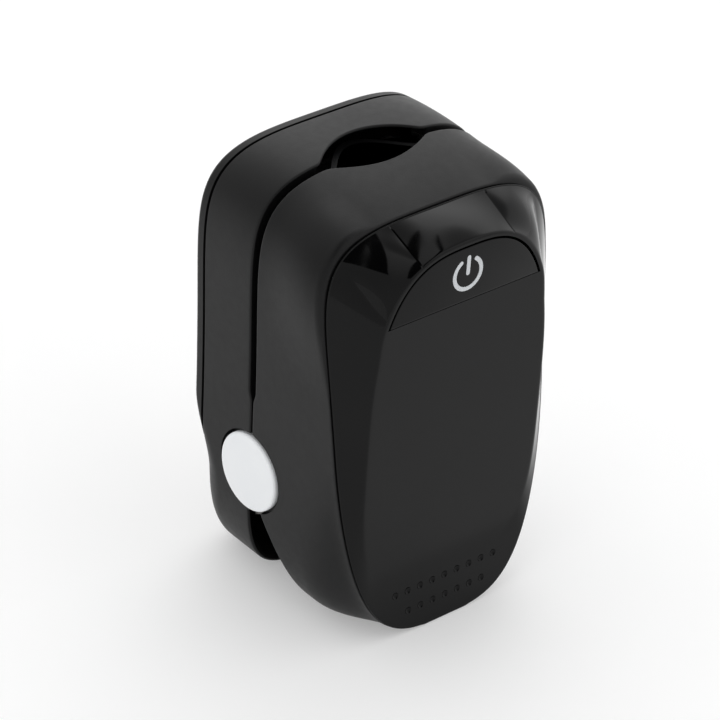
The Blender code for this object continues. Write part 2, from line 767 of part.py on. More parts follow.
def rounded_path(through, steps=4):
    """A smooth (Catmull-Rom) curve through points, with this many steps between each two."""
    points = []
    for i in range(len(through) - 1):
        p0 = through[max(i - 1, 0)]
        p1, p2 = through[i], through[i + 1]
        p3 = through[min(i + 2, len(through) - 1)]
        for k in range(steps):
            t = k / steps
            point = []
            for a, b, c, d in zip(p0, p1, p2, p3):
                square = 2 * a - 5 * b + 4 * c - d
                cube = 3 * b - a - 3 * c + d
                point.append((2 * b + (c - a) * t + square * t * t + cube * t ** 3) / 2)
            points.append(tuple(point))
    points.append(through[-1])
    return points


def flex_cable():
    """Ribbon from the main board round below the hinge to the detector board."""
    x_low, x_high = FLEX_X
    thick = FLEX_THICK
    points = rounded_path(FLEX_PATH)
    rings = []
    for i, (y, z) in enumerate(points):
        before = points[max(i - 1, 0)]
        after = points[min(i + 1, len(points) - 1)]
        dy, dz = after[0] - before[0], after[1] - before[1]
        size = math.hypot(dy, dz)
        ny, nz = -dz / size * thick / 2, dy / size * thick / 2
        rings.append([
            (x_low, y - ny, z - nz), (x_high, y - ny, z - nz),
            (x_high, y + ny, z + nz), (x_low, y + ny, z + nz),
        ])
    return loft("flex_cable", rings, "flex_amber")


def screws(prefix, places, head_y, tip_y):
    """Low-head screws along Y, heads towards the finger channel."""
    parts = []
    sense = 1 if tip_y > head_y else -1
    under = head_y + 0.4 * sense
    for i, (x, z) in enumerate(places):
        rings = []
        for radius, y in ((1.3, head_y), (1.5, head_y + 0.1 * sense), (1.5, under),
                          (0.75, under), (0.75, tip_y - 0.6 * sense), (0.3, tip_y)):
            rings.append([(px, y, pz) for px, pz in circle((x, z), radius, 12)])
        parts.append(loft(f"{prefix}_screw_{i + 1}", rings, "steel"))
    return parts


# ================================================================================================
# Assembly
# ================================================================================================
def pivot(name, at, children):
    """An empty on a joint's axis, with the pieces that move about it as its children."""
    empty = bpy.data.objects.new(name, None)
    empty.location = [c * MM for c in at]
    bpy.context.scene.collection.objects.link(empty)
    for child in children:
        child.parent = empty
        child.matrix_parent_inverse = Matrix.Translation([-c * MM for c in at])
    return empty


def main():
    for obj in list(bpy.data.objects):
        bpy.data.objects.remove(obj)
    rear_shell()
    cover = battery_cover()
    rear_cradle()
    xs = across(REAR_PAD_STEPS, REAR_CRADLE_STEPS)
    pad("rear_pad", xs, rear_surface, -1, sensor_hole("rear_pad_hole", 2.4, 0.0, 12.0))
    hinge_parts()
    torsion_spring()
    spring_rod()
    cells()
    screws("rear", rear_bosses(), REAR_FACE_Y - 0.1, 11.0)
    front = [front_shell(), fascia(), front_cradle()]
    xs = across(FRONT_PAD_STEPS, FRONT_CRADLE_STEPS)
    front.append(pad("front_pad", xs, front_surface, 1, sensor_hole("front_pad_hole", 2.4, -6.0, 6.0)))
    front += board_parts()
    front += screws("front", front_bosses(), FRONT_FACE_Y + 0.1, -4.0)
    flex_cable()
    button = power_button()
    front += [part for part in sensor_parts() if part.name.startswith(("emitter", "light"))]
    half = pivot("front_half_pivot", (0.0, HINGE_Y, HINGE_Z), front)
    guide = pivot("button_guide", (0.0, PLATEAU_MID_Y, 50.6), button)
    guide.parent = half
    guide.matrix_parent_inverse = Matrix.Translation([0.0, -HINGE_Y * MM, -HINGE_Z * MM])
    pivot("cover_slide", (0.0, BACK_SEAM_Y, COVER_LOW_Z), [cover])


main()
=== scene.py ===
"""Looks of the fingertip pulse oximeter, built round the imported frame.

Sizes are in millimetres in the frame of the CAD model: +Z up, the front faces -Y, and the origin is
the bottom centre.  MM turns them into metres where meshes and the camera are made.  Bump distances,
noise scales and the floor are in metres, as Blender reads them.
"""

import json
import math

import bmesh
import bpy
import numpy as np
from mathutils import Matrix, Vector


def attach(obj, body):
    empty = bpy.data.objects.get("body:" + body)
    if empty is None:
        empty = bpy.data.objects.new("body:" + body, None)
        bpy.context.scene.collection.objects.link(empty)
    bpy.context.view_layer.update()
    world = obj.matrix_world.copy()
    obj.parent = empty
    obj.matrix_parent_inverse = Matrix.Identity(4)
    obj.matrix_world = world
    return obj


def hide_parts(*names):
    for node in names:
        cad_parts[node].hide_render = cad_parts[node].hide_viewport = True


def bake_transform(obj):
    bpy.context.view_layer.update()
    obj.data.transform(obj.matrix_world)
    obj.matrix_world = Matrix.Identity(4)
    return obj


MM = 0.001

# ---- outline and depths of the body, as in the CAD model ---------------------
MID_Z = 29.0                          # where an outline's upper and lower parts meet
HALF_WIDTH = (17.36, 1.10, 0.81, -0.16)  # cubic in (z - MID_Z) / MID_Z
TOP_POWERS = (7.10, 3.61)             # superellipse powers of the outline's upper part
FRONT_LOW_POWERS = (2.08, 3.32)       # and of its lower part, at the front seam
BODY_LOW_POWERS = (5.0, 5.0)          # and on the casings
FLAT_FOOT = 0.12                      # outline points lower than this stand on the floor
WALL = 1.4
GAP = 0.3                             # between neighbouring parts
SEAM_MID_Y, SEAM_LEAN = -11.6, 4.3    # seam between fascia and front casing
PLATEAU_MID_Y, PLATEAU_LEAN = -14.57, 0.42  # raised flat of the fascia
PARTING_Y = 4.65                      # where the two casings meet
BACK_SEAM_Y = 14.75                   # where the battery cover sits on the rear casing
BACK_Y = 16.5
BACK_R, HEEL_R = 0.7, 5.5             # rounding of the back's edge, above and at the heel
ROUND_START_Y = 10.2                  # depth where the back's rounding may begin
HEEL_Z = (12.0, 24.0)                 # heights between which one turns into the other
SEAM_TOP_Z = 58.0                     # top of the outline at the seam, parting and back
PARTING_TOP_Z = 60.27
BACK_SEAM_TOP_Z = 60.05
FASCIA_LIP = 0.4                      # how far the fascia stands out at its seam
PLATEAU_HALF_WIDTH = 14.48
PLATEAU_UP = (26.56, 2.91)            # reach from MID_Z and power
PLATEAU_DOWN = (22.5, 3.61)
BUTTON_LOW_Z = 47.5
COVER_LOW_Z = 17.1
COVER_INNER_Y = 15.35
COVER_RIM = 2.0                       # width of the cover's thick border

# ---- finger opening, slot and hinge ------------------------------------------
MOUTH_HALF_WIDTH = 8.9
MOUTH_FRONT, MOUTH_REAR = 3.0, 4.3    # depth of the opening in each half
SLOT_WIDTH = 1.2
SLOT_END_Z = 28.1
SLOT_TAPER = 1.8                      # height over which the slot opens
SHUT_HALF = 0.07                      # half the closed parting line
LIP_TAPER = 2.6                       # depth over which the wall thins at the mouth and wedge
WEDGE_TOP = 4.0                       # distance of the wedge's visible part below the hinge
EDGE_TRIM = 0.03                      # taken off a softened edge, which lies a little outside
LOWER_CUT = ((4.5, 17.2), (2.1, 11.6), (-5.9, 0.0))  # (y, z) of the wedge below the hinge
HINGE_Y, HINGE_Z = 4.65, 17.5
CAP_R = 5.47
CAP_X = (16.3, 17.4)
CAP_EDGE_R = 0.35
CAP_CROWN = 0.05
RECESS_R = 5.9
RECESS_X = 16.0

# ---- finger pads, spring and flex cable --------------------------------------
REAR_FACE_Y, FRONT_FACE_Y = 3.6, 3.3
REAR_TROUGH = (5.3, 7.6, 1.6)         # depth, half width, power
FRONT_TROUGH = (3.6, 8.6, 0.8)
REAR_PAD_HALF, FRONT_PAD_HALF = 6.3, 7.7  # half widths of the pads
PAD_Z = (25.0, 57.5)
PAD_THICK, PAD_EDGE = 1.2, 0.35       # thickness in the middle and at the rims
PAD_END = 2.0                         # length over which a pad thins at its ends
PAD_END_SHARE = 0.45                  # what is left of its thickness there
RIB_PITCH = 2.5
RIB_DEPTH = 0.22
RIB_START = (2.7, 3.5)                # distances from the sensor between which they begin
RIB_RIM = 1.2                         # width over which they fade at the pad's rims
SENSOR_Z = 37.0
WINDOW_R = 2.0
WINDOW_ROOM = 0.45                    # open ring round the sensor window
SPRING_X = (-3.5, -0.7)
SPRING_R = 1.8
SPRING_WIRE_R = 0.22
SPRING_TURNS = 4.375
SPRING_FRONT_LEG = ((-1.5, 24.0), (-1.42, 22.9), (-0.9, 21.8))  # (y, z), towards the coil
SPRING_REAR_LEG = ((9.4, 19.4), (10.2, 20.4), (10.5, 21.4), (10.5, 24.0))  # and away from it
SPRING_HELD = ((-3.5, -1.2, 17.5), (-3.5, 2.85, 17.5))  # (x, y, z) of a point for each half
FLEX_X = (0.8, 3.8)
FLEX_THICK = 0.3
FLEX_PATH = (                         # (y, z) from the main board to the detector board
    (-7.9, 18.0), (-6.8, 9.4), (-4.4, 4.6), (1.0, 3.4),
    (6.6, 6.2), (10.0, 13.0), (10.7, 23.0), (10.7, 31.6),
)
FLEX_HELD = ((2.3, -4.4, 5.0), (2.3, 9.0, 5.0))

# ---- fineness and edges of the visible meshes --------------------------------
AROUND = 360                          # points round a casing
PAD_ACROSS, PAD_ALONG = 49, 131       # points across and along a finger pad
FACET_STEPS = (110, 50, 2, 2, 60)     # along the side facet, corner facet, crease, top facet
EDGE_R = 0.3                          # rounding of the casings' edges
COVER_EDGE_R = 0.28                   # and of the edges round the battery cover
GROOVE_EDGE_R = 0.08                  # and of its grip
BEYOND = 25.0                         # cutters reach this far, outside the object
BEVEL_ANGLE = 35.0                    # edges turned by more degrees than this are rounded
SHARP = 32.0                          # and stay sharp in the shading above these
FACET_SHARP = 26.0
ROUND_SHARP = 60.0
KEY_SHARP = 50.0

# ---- details -----------------------------------------------------------------
SEAM_GAP = 0.22                       # open line between fascia and shell
FASCIA_BACK = 1.2                     # how far the fascia reaches behind its seam
FOOT_IN, FLANK_IN, LIP_IN = 0.20, 0.13, 0.26  # its side drawn in from the shell's outline, back to front
TOP_CREASE_X = (7.8, 7.2)             # |x| of the crease beside the top facet, seam and plateau
SIDE_CREASE_Z = (55.0, 48.4)          # height of the crease between corner and side facets
CREASE_WIDTH = 0.13
CREASE_DEPTH = 0.20
CREASE_FADE = 0.1                     # share of its length over which it runs out at each end
CORNER_BULGE = 0.85
TOP_BULGE = 0.38
TOP_HOLLOW = 1.5                      # how much the top facet dips beside its crease
FULL_BULGE = 8.0                      # width a facet needs for its whole bulge
SWELL = 0.75                          # how far the casing stands out behind the upper seam
SWELL_Z = (36.0, 52.0)                # heights between which the swell grows
SWELL_X = (9.0, 15.0)                 # and distances from the middle
SWELL_RISE, SWELL_FALL = 0.08, (0.15, 0.9)  # shares of the way from the seam to the rear edge
RIM = 0.55                            # land between the button and the facets
RIM_Z = (42.0, 48.0)                  # heights between which it widens
GROOVE = 0.33                         # open line round the button's arc
KEY_EDGE = 0.09                       # rounding of the key's edge
KEY_THICK = 1.5
KEY_SEAM = (-0.015, 0.03)             # lower ends of the well and the key above BUTTON_LOW_Z
DIMPLE_R = 0.5
DIMPLE_DEPTH = 0.28
DIMPLE_PITCH = 2.08
DIMPLE_ROWS = ((6.24, 9), (3.35, 7))  # height and number of each row
SYMBOL_Z = 51.5
SYMBOL_R = 2.16
SYMBOL_STROKE = 0.58
SYMBOL_HEIGHT = 0.04
SYMBOL_OPENING = 34                   # degrees from the top to each end of the ring
GRIP_Z, GRIP_PITCH, GRIP_GROOVES = 47.0, 1.5, 6  # lowest groove, spacing and number of grooves
GRIP_HALF, GRIP_R, GRIP_DEPTH = 7.5, 0.35, 0.35
ARROW = ((0.0, 43.6), (-2.2, 40.8), (2.2, 40.8))  # (x, z)
ARROW_DEPTH = 0.25

# ---- camera ------------------------------------------------------------------
CAMERA_AZIMUTH = -42.35
CAMERA_ELEVATION = 33.24
CAMERA_ROLL = 4.64
CAMERA_DISTANCE = 482.5
SENSOR_WIDTH = 36.0
CAMERA_LENS = 187.5
CAMERA_AIM = (-0.747, 3.237, 29.402)
CAMERA_CLIP = (0.01, 10.0)            # metres

# ---- light -------------------------------------------------------------------
CAMERA_SIDE = (-0.568, -0.615, 0.547)
SKY_BRIGHT_SIDE = (0.75, 0.35, 0.55)
SKY_SPAN = (-0.3, 0.9)                # cosines to that side where the light is dim and bright
SKY_DIM, SKY_BRIGHT = 0.78, 1.3
SKY_PATCHES = (                       # direction, half width and softness in degrees, factor
    ((0.532, 0.447, 0.719), 14.0, 14.0, 1.85),
    ((0.500, 0.017, 0.866), 9.0, 8.0, 0.45),
    (CAMERA_SIDE, 24.0, 12.0, 0.9),
)
FLAG_SIDES = (                        # inward direction of each side, and how far in it lies
    ((0.586, 0.397, 0.707), 0.0),
    ((-0.843, 0.470, 0.261), 0.0),
    ((0.550, -0.835, 0.011), 0.052),
)
FLAG_EDGE = 0.008                     # softness of the flag's sides
FLOOR_HALF = 1.2                      # metres
FLOOR_GLOW = 0.29

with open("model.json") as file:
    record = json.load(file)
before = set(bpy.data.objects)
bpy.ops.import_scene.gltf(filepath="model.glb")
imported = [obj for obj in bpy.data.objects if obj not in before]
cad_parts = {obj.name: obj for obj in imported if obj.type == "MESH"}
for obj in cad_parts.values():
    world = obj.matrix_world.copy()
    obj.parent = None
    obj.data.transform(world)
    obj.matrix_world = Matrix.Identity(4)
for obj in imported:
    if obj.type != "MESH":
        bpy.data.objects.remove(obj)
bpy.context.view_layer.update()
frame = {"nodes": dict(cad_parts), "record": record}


# ---- Curves ------------------------------------------------------------------
def smooth(t):
    """Soft step from 0 at t = 0 to 1 at t = 1."""
    t = np.clip(t, 0.0, 1.0)
    return t * t * (3.0 - 2.0 * t)


def ramp(value, span):
    """Soft step from 0 at the start of a span to 1 at its end."""
    low, high = span
    return smooth((value - low) / (high - low))


def half_width(z):
    s = (z - MID_Z) / MID_Z
    a, b, c, d = HALF_WIDTH
    return a + b * s + c * s * s + d * s ** 3


def seam_y(z):
    return SEAM_MID_Y + SEAM_LEAN * (z - MID_Z) / MID_Z


def plateau_y(z):
    return PLATEAU_MID_Y + PLATEAU_LEAN * (z - MID_Z) / MID_Z


def arch_z(y):
    """Height of the top at depth y: a parabola through its heights at the three seams."""
    ya, yb, yc = seam_y(SEAM_TOP_Z), PARTING_Y, BACK_SEAM_Y
    za, zb, zc = SEAM_TOP_Z, PARTING_TOP_Z, BACK_SEAM_TOP_Z
    part_a = za * (y - yb) * (y - yc) / ((ya - yb) * (ya - yc))
    part_b = zb * (y - ya) * (y - yc) / ((yb - ya) * (yb - yc))
    part_c = zc * (y - ya) * (y - yb) / ((yc - ya) * (yc - yb))
    return part_a + part_b + part_c


def evenly(points, count):
    """The same open curve as count + 1 points with even steps along it."""
    steps = np.hypot(*np.diff(points, axis=0).T)
    length = np.concatenate([[0.0], np.cumsum(steps)])
    wanted = np.linspace(0.0, length[-1], count + 1)
    return np.stack([np.interp(wanted, length, points[:, k]) for k in (0, 1)], axis=1)


def half_curve(low_powers, top, low_rise, high_powers, width):
    """Right half of an outline, bottom centre to top centre, as dense (x, z) points."""
    t = np.linspace(0.0, math.pi / 2, 400)
    n, m = low_powers
    z = MID_Z - low_rise * np.cos(t) ** (2 / n)
    low = np.stack([width(z) * np.sin(t) ** (2 / m), z], axis=1)
    t = t[::-1]
    n, m = high_powers
    z = MID_Z + (top - MID_Z) * np.cos(t).clip(0) ** (2 / n)
    high = np.stack([width(z) * np.sin(t).clip(0) ** (2 / m), z], axis=1)
    half = np.concatenate([low, high[1:]])
    half[[0, -1], 0] = 0.0
    return half


def closed(half):
    """A right half, bottom centre to top centre, closed by its mirror image."""
    left = half[-2:0:-1] * (-1.0, 1.0)
    return np.concatenate([half, left])


def set_down(loop):
    """A loop whose lowest points stand flat on the floor."""
    return np.stack([loop[:, 0], np.where(loop[:, 1] < FLAT_FOOT, 0.0, loop[:, 1])], axis=1)


def body_loop(top, low_powers):
    half = half_curve(low_powers, top, MID_Z, TOP_POWERS, half_width)
    return set_down(closed(evenly(half, AROUND // 2)))


def plateau_half():
    low_rise, low_power = PLATEAU_DOWN
    rise, power = PLATEAU_UP
    wide = np.vectorize(lambda z: PLATEAU_HALF_WIDTH)
    return half_curve((low_power,) * 2, MID_Z + rise, low_rise, (power,) * 2, wide)


def inset(loop, amount):
    """A closed loop drawn in by amount, a number or one for each point."""
    side = np.roll(loop, -1, axis=0) - loop
    side /= np.linalg.norm(side, axis=1, keepdims=True).clip(1e-9)
    normal = np.stack([-side[:, 1], side[:, 0]], axis=1)
    both = normal + np.roll(normal, 1, axis=0)
    mitre = 2.0 / (both ** 2).sum(axis=1, keepdims=True).clip(1.0)
    return loop + both * mitre * np.reshape(amount, (-1, 1))


def back_inset(y, z):
    """How far the rounded edge of the back has drawn in at depth y and height z."""
    radius = HEEL_R + (BACK_R - HEEL_R) * ramp(z, HEEL_Z)
    over = np.maximum(y - (BACK_Y - radius), 0.0)
    return radius - np.sqrt(np.maximum(radius ** 2 - over ** 2, 0.0))


class Skin:
    """An outer surface as outlines at several depths, read at any depth for each point round it."""

    def __init__(self, depths, loops):
        self.depths = np.array(depths)
        self.loops = np.array(loops)

    def at(self, depth):
        depth = np.broadcast_to(depth, self.loops.shape[1])
        k = np.clip(np.searchsorted(self.depths, depth) - 1, 0, len(self.depths) - 2)
        share = (depth - self.depths[k]) / (self.depths[k + 1] - self.depths[k])
        i = np.arange(self.loops.shape[1])
        low, high = self.loops[k, i], self.loops[k + 1, i]
        return low + (high - low) * share[:, None]


# ---- Meshes ------------------------------------------------------------------
def add_object(name, bm, sharp=SHARP):
    """Links a mesh as an object, with its faces outwards and its sharp edges marked."""
    bmesh.ops.recalc_face_normals(bm, faces=bm.faces)
    if bm.calc_volume(signed=True) < 0.0:
        bmesh.ops.reverse_faces(bm, faces=bm.faces)
    mesh = bpy.data.meshes.new(name)
    bm.to_mesh(mesh)
    bm.free()
    obj = bpy.data.objects.new(name, mesh)
    bpy.context.scene.collection.objects.link(obj)
    mesh.shade_smooth()
    mesh.set_sharp_from_angle(angle=math.radians(sharp))
    return obj


def bridged(bm, rings, tube=False):
    """Adds rings of points with faces between each two, and from the last to the first of a tube."""
    rows = [[bm.verts.new(Vector(p) * MM) for p in ring] for ring in rings]
    pairs = list(zip(rows, rows[1:]))
    if tube:
        pairs.append((rows[-1], rows[0]))
    for a, b in pairs:
        for i in range(len(a)):
            j = (i + 1) % len(a)
            bm.faces.new((a[i], a[j], b[j], b[i]))
    return rows


def loft(name, rings, tube=False, sharp=SHARP):
    """A closed body through rings of points, capped at both ends or closed into a tube."""
    bm = bmesh.new()
    rows = bridged(bm, rings, tube)
    if not tube:
        bm.faces.new(rows[0])
        bm.faces.new(rows[-1])
    return add_object(name, bm, sharp)


def spaced(loop, y):
    """A loop of (x, z) points placed at depth y, a number or one for each point."""
    y = np.broadcast_to(y, len(loop))
    return np.stack([loop[:, 0], y, loop[:, 1]], axis=1)


def box(name, x, y, z):
    ring = [(x[0], y[0]), (x[1], y[0]), (x[1], y[1]), (x[0], y[1])]
    return loft(name, [[(px, py, h) for px, py in ring] for h in z])


def turned(name, axis, centre, profile, sides=128):
    """A profile of (radius, height) points turned about a line along X or Y."""
    rings = []
    for radius, height in profile:
        ring = []
        for i in range(sides):
            angle = 2 * math.pi * i / sides
            a = centre[0] + radius * math.cos(angle)
            b = centre[1] + radius * math.sin(angle)
            ring.append((height, a, b) if axis == "X" else (a, height, b))
        rings.append(ring)
    return loft(name, rings)


def cut(obj, tools, sharp=SHARP):
    """Cuts tools out of an object and removes them."""
    for tool in tools:
        modifier = obj.modifiers.new("cut", "BOOLEAN")
        modifier.operation = "DIFFERENCE"
        modifier.solver = "EXACT"
        modifier.object = tool
    settle(obj, sharp)
    for tool in tools:
        bpy.data.objects.remove(tool)


def settle(obj, sharp=SHARP):
    """Applies the modifiers of an object to its mesh."""
    graph = bpy.context.evaluated_depsgraph_get()
    mesh = bpy.data.meshes.new_from_object(obj.evaluated_get(graph))
    obj.modifiers.clear()
    obj.data = mesh
    mesh.shade_smooth()
    mesh.set_sharp_from_angle(angle=math.radians(sharp))


def near(a, b):
    return abs(a - b) < 0.01


def bevel_edges(obj, width, chosen, segments=3):
    """Rounds the sharp edges whose middle, in millimetres, the function chosen accepts."""
    bm = bmesh.new()
    bm.from_mesh(obj.data)
    layer = bm.edges.layers.float.new("bevel_weight_edge")
    for edge in bm.edges:
        middle = (edge.verts[0].co + edge.verts[1].co) / (2 * MM)
        if edge.calc_face_angle(0.0) > math.radians(BEVEL_ANGLE) and chosen(middle):
            edge[layer] = 1.0
    bm.to_mesh(obj.data)
    bm.free()
    modifier = obj.modifiers.new("round", "BEVEL")
    modifier.limit_method = "WEIGHT"
    modifier.width = width * MM
    modifier.segments = segments
    modifier.use_clamp_overlap = True
    settle(obj)


def rounded_path(through, steps):
    """A smooth (Catmull-Rom) curve through points, with this many steps between each two."""
    through = np.array(through, float)
    points = []
    for i in range(len(through) - 1):
        a, d = through[max(i - 1, 0)], through[min(i + 2, len(through) - 1)]
        b, c = through[i], through[i + 1]
        for k in range(steps):
            t = k / steps
            square, cube = 2 * a - 5 * b + 4 * c - d, 3 * b - a - 3 * c + d
            points.append((2 * b + (c - a) * t + square * t * t + cube * t ** 3) / 2)
    points.append(through[-1])
    return np.array(points)


def headings(path):
    """Unit direction of a line of points at each of them."""
    along = np.gradient(path, axis=0)
    return along / np.linalg.norm(along, axis=1, keepdims=True)


def wire(name, path, radius, sides=12):
    """A round wire along a line of points, its section carried on without twist."""
    along = headings(path)
    side = np.cross(along[0], (1.0, 0.0, 0.0))
    rings = []
    for point, heading in zip(path, along):
        side = side - heading * (side @ heading)
        side /= np.linalg.norm(side)
        other = np.cross(heading, side)
        angles = np.linspace(0.0, 2 * math.pi, sides, endpoint=False)[:, None]
        rings.append(point + radius * (np.cos(angles) * side + np.sin(angles) * other))
    return loft(name, rings, sharp=ROUND_SHARP)


def fillet(start, corner, end, steps):
    """Points of a rounded corner, from start by way of corner to end."""
    result = []
    for i in range(steps + 1):
        t = i / steps
        result.append((1 - t) ** 2 * start + 2 * t * (1 - t) * corner + t * t * end)
    return result


# ---- Casings -----------------------------------------------------------------
def parting_step(z):
    """Half of the open slot, drawn in to the closed parting line at its lower end."""
    return SHUT_HALF + (SLOT_WIDTH / 2 - SHUT_HALF) * smooth((z - SLOT_END_Z) / SLOT_TAPER)


def mouth_reach(x, z, deepest):
    """How far the finger opening eats into a half, zero beside it."""
    reach = deepest * (1 - (x / MOUTH_HALF_WIDTH) ** 2)
    return np.where(z > MID_Z, reach, 0.0)


def softened(a, b, width=0.25):
    """The larger of two values, with the change from one to the other rounded."""
    return (a + b + np.sqrt((a - b) ** 2 + width ** 2)) / 2


def front_end(x, z):
    """Depth of the front half's rear edge for outline points."""
    reach = softened(parting_step(z), mouth_reach(x, z, MOUTH_FRONT)) - EDGE_TRIM
    low_y, low_z = zip(*reversed(LOWER_CUT))
    return np.where(z < LOWER_CUT[0][1], np.interp(z, low_z, low_y), PARTING_Y - reach)


def rear_end(x, z):
    """Depth of the rear half's front edge for outline points."""
    return PARTING_Y + softened(parting_step(z), mouth_reach(x, z, MOUTH_REAR)) - EDGE_TRIM


def recess_tools():
    """Cutters for the round recesses of the hinge caps."""
    tools = []
    for side in (-1, 1):
        profile = [(RECESS_R, side * RECESS_X), (RECESS_R, side * BEYOND)]
        tools.append(turned("recess", "X", (HINGE_Y, HINGE_Z), profile))
    return tools


def swell_profile(b):
    """Quick rounded rise just behind the seam, b = 0, and a long fall towards the rear edge, b = 1."""
    rise = math.sqrt(1.0 - (1.0 - min(b / SWELL_RISE, 1.0)) ** 2)
    return rise * (1.0 - ramp(b, SWELL_FALL))


def front_skin():
    """Outer surface of the front casing; its depths are shares of the way from seam to rear edge."""
    depths = np.concatenate([np.linspace(0.0, SWELL_RISE, 11), np.linspace(0.1, 1.0, 25)])
    end_y = PARTING_Y - GAP / 2
    loops = []
    for b in depths:
        top = arch_z(seam_y(SEAM_TOP_Z) + (end_y - seam_y(SEAM_TOP_Z)) * b)
        blend = smooth(b / 0.45)
        powers = [a + (c - a) * blend for a, c in zip(FRONT_LOW_POWERS, BODY_LOW_POWERS)]
        loop = body_loop(top, powers)
        aside = ramp(np.abs(loop[:, 0]), SWELL_X)
        swell = SWELL * aside * ramp(loop[:, 1], SWELL_Z) * swell_profile(b)
        loops.append(inset(loop, -swell))
    return Skin(depths, loops)


def front_casing():
    skin = front_skin()
    end_y = PARTING_Y - GAP / 2

    def ring(share, drawn_in, shift=0.0):
        """share runs from the seam to the rear edge; shift moves the ring on in Y."""
        last = skin.at(1.0)
        for _ in range(3):                    # the edge depends on the point, and the point on it
            edge = front_end(last[:, 0], last[:, 1])
            most = (edge - seam_y(last[:, 1])) / (end_y - seam_y(last[:, 1]))
            last = skin.at(most.clip(0, 1))
        length = end_y - seam_y(last[:, 1])
        depth = (most * share + shift / length).clip(0, 1)
        loop = skin.at(depth)
        y = seam_y(loop[:, 1]) + (end_y - seam_y(loop[:, 1])) * depth
        return spaced(inset(loop, drawn_in), y)

    r = EDGE_R
    seam_edge = fillet(ring(0, r * 0.6), ring(0, 0), ring(0, 0, r * 0.6), 3)
    rear_edge = fillet(ring(1, 0, -r), ring(1, 0), ring(1, r), 5)
    rings = [ring(0, WALL)] + seam_edge
    rings += [ring(share, 0) for share in np.linspace(0.03, 0.15, 10)]
    rings += [ring(share, 0) for share in np.linspace(0.18, 0.97, 30)]
    rings += rear_edge + [ring(1, WALL)]
    rings += [ring(share, WALL) for share in (0.8, 0.6, 0.4, 0.2)]
    shell = loft("front_casing", rings, tube=True)
    cut(shell, recess_tools())
    return shell


def rear_skin():
    depths = np.concatenate([np.linspace(3.0, 12.0, 10), np.linspace(12.4, BACK_Y, 20)])
    return Skin(depths, [body_loop(arch_z(y), BODY_LOW_POWERS) for y in depths])


def rear_ring(skin, y, drawn_in):
    """A ring of the rear half at depth y, drawn in where the back rounds over."""
    loop = skin.at(y)
    return spaced(inset(loop, drawn_in + back_inset(y, loop[:, 1])), y)


def back_rings(skin, start, steps):
    """Rings from depth start to the flat of the back, close together where it rounds over."""
    share = np.sin(np.linspace(0.0, math.pi / 2, steps))
    return [rear_ring(skin, start + (BACK_Y - start) * s, 0.0) for s in share]


def rear_casing():
    skin = rear_skin()
    last = skin.at(PARTING_Y)
    edge = rear_end(last[:, 0], last[:, 1])
    floor_y = BACK_Y - WALL
    r = EDGE_R

    def ring(y, drawn_in):
        return rear_ring(skin, y, drawn_in)

    in_mouth = mouth_reach(last[:, 0], last[:, 1], 1.0) > 0.0
    below_hinge = last[:, 1] < HINGE_Z - WEDGE_TOP
    taper = LIP_TAPER * (in_mouth | below_hinge)
    inner = [ring(edge + (floor_y - edge) * s, WALL) for s in (1.0, 0.9, 0.75, 0.6)]
    lip = [ring(edge + taper, WALL)]
    lip += fillet(ring(edge, r), ring(edge, 0.0), ring(edge + r, 0.0), 5)
    outer = [ring(edge + r + (ROUND_START_Y - edge - r) * s, 0.0) for s in np.linspace(0.08, 0.95, 9)]
    rings = inner + lip + outer + back_rings(skin, ROUND_START_Y, 30)
    shell = loft("rear_casing", rings)
    seat_y = BACK_SEAM_Y - GAP
    seat_z = COVER_LOW_Z - GAP / 2
    cut(shell, [box("seat", (-BEYOND, BEYOND), (seat_y, BEYOND), (seat_z, 2 * MID_Z + BEYOND))])
    bevel_edges(shell, COVER_EDGE_R, lambda p: near(p.y, seat_y) or near(p.z, seat_z))
    cut(shell, recess_tools())
    return shell


def cover_grip():
    """Cutters for the cover's finger grip: short grooves and an arrow that points the way off."""
    tools = []
    for i in range(GRIP_GROOVES):
        z = GRIP_Z + GRIP_PITCH * i
        half = GRIP_HALF - GRIP_R * abs(i - (GRIP_GROOVES - 1) / 2)
        ring = []
        for side in (1, -1):
            for angle in np.linspace(-90, 90, 9):
                a = math.radians(angle)
                ring.append((side * (half + GRIP_R * math.cos(a)), z + side * GRIP_R * math.sin(a)))
        tools.append(loft("groove", [spaced(np.array(ring), y) for y in (BACK_Y - GRIP_DEPTH, BEYOND)]))
    tools.append(loft("arrow", [spaced(np.array(ARROW), y) for y in (BACK_Y - ARROW_DEPTH, BEYOND)]))
    return tools


def cover_plate():
    skin = rear_skin()
    start = BACK_SEAM_Y + GAP / 2
    cover = loft("cover_plate", back_rings(skin, start, 22))
    low = COVER_LOW_Z + GAP / 2
    rim = rear_ring(skin, start, COVER_RIM)
    hollow = loft("hollow", [spaced(rim[:, [0, 2]], y) for y in (start - 1, COVER_INNER_Y)])
    end = box("end", (-BEYOND, BEYOND), (PARTING_Y, BEYOND), (-BEYOND, low))
    cut(cover, [end, hollow])
    bevel_edges(cover, COVER_EDGE_R, lambda p: near(p.y, start) or near(p.z, low))
    cut(cover, cover_grip())
    bevel_edges(cover, GROOVE_EDGE_R, lambda p: near(p.y, BACK_Y), segments=2)
    return cover


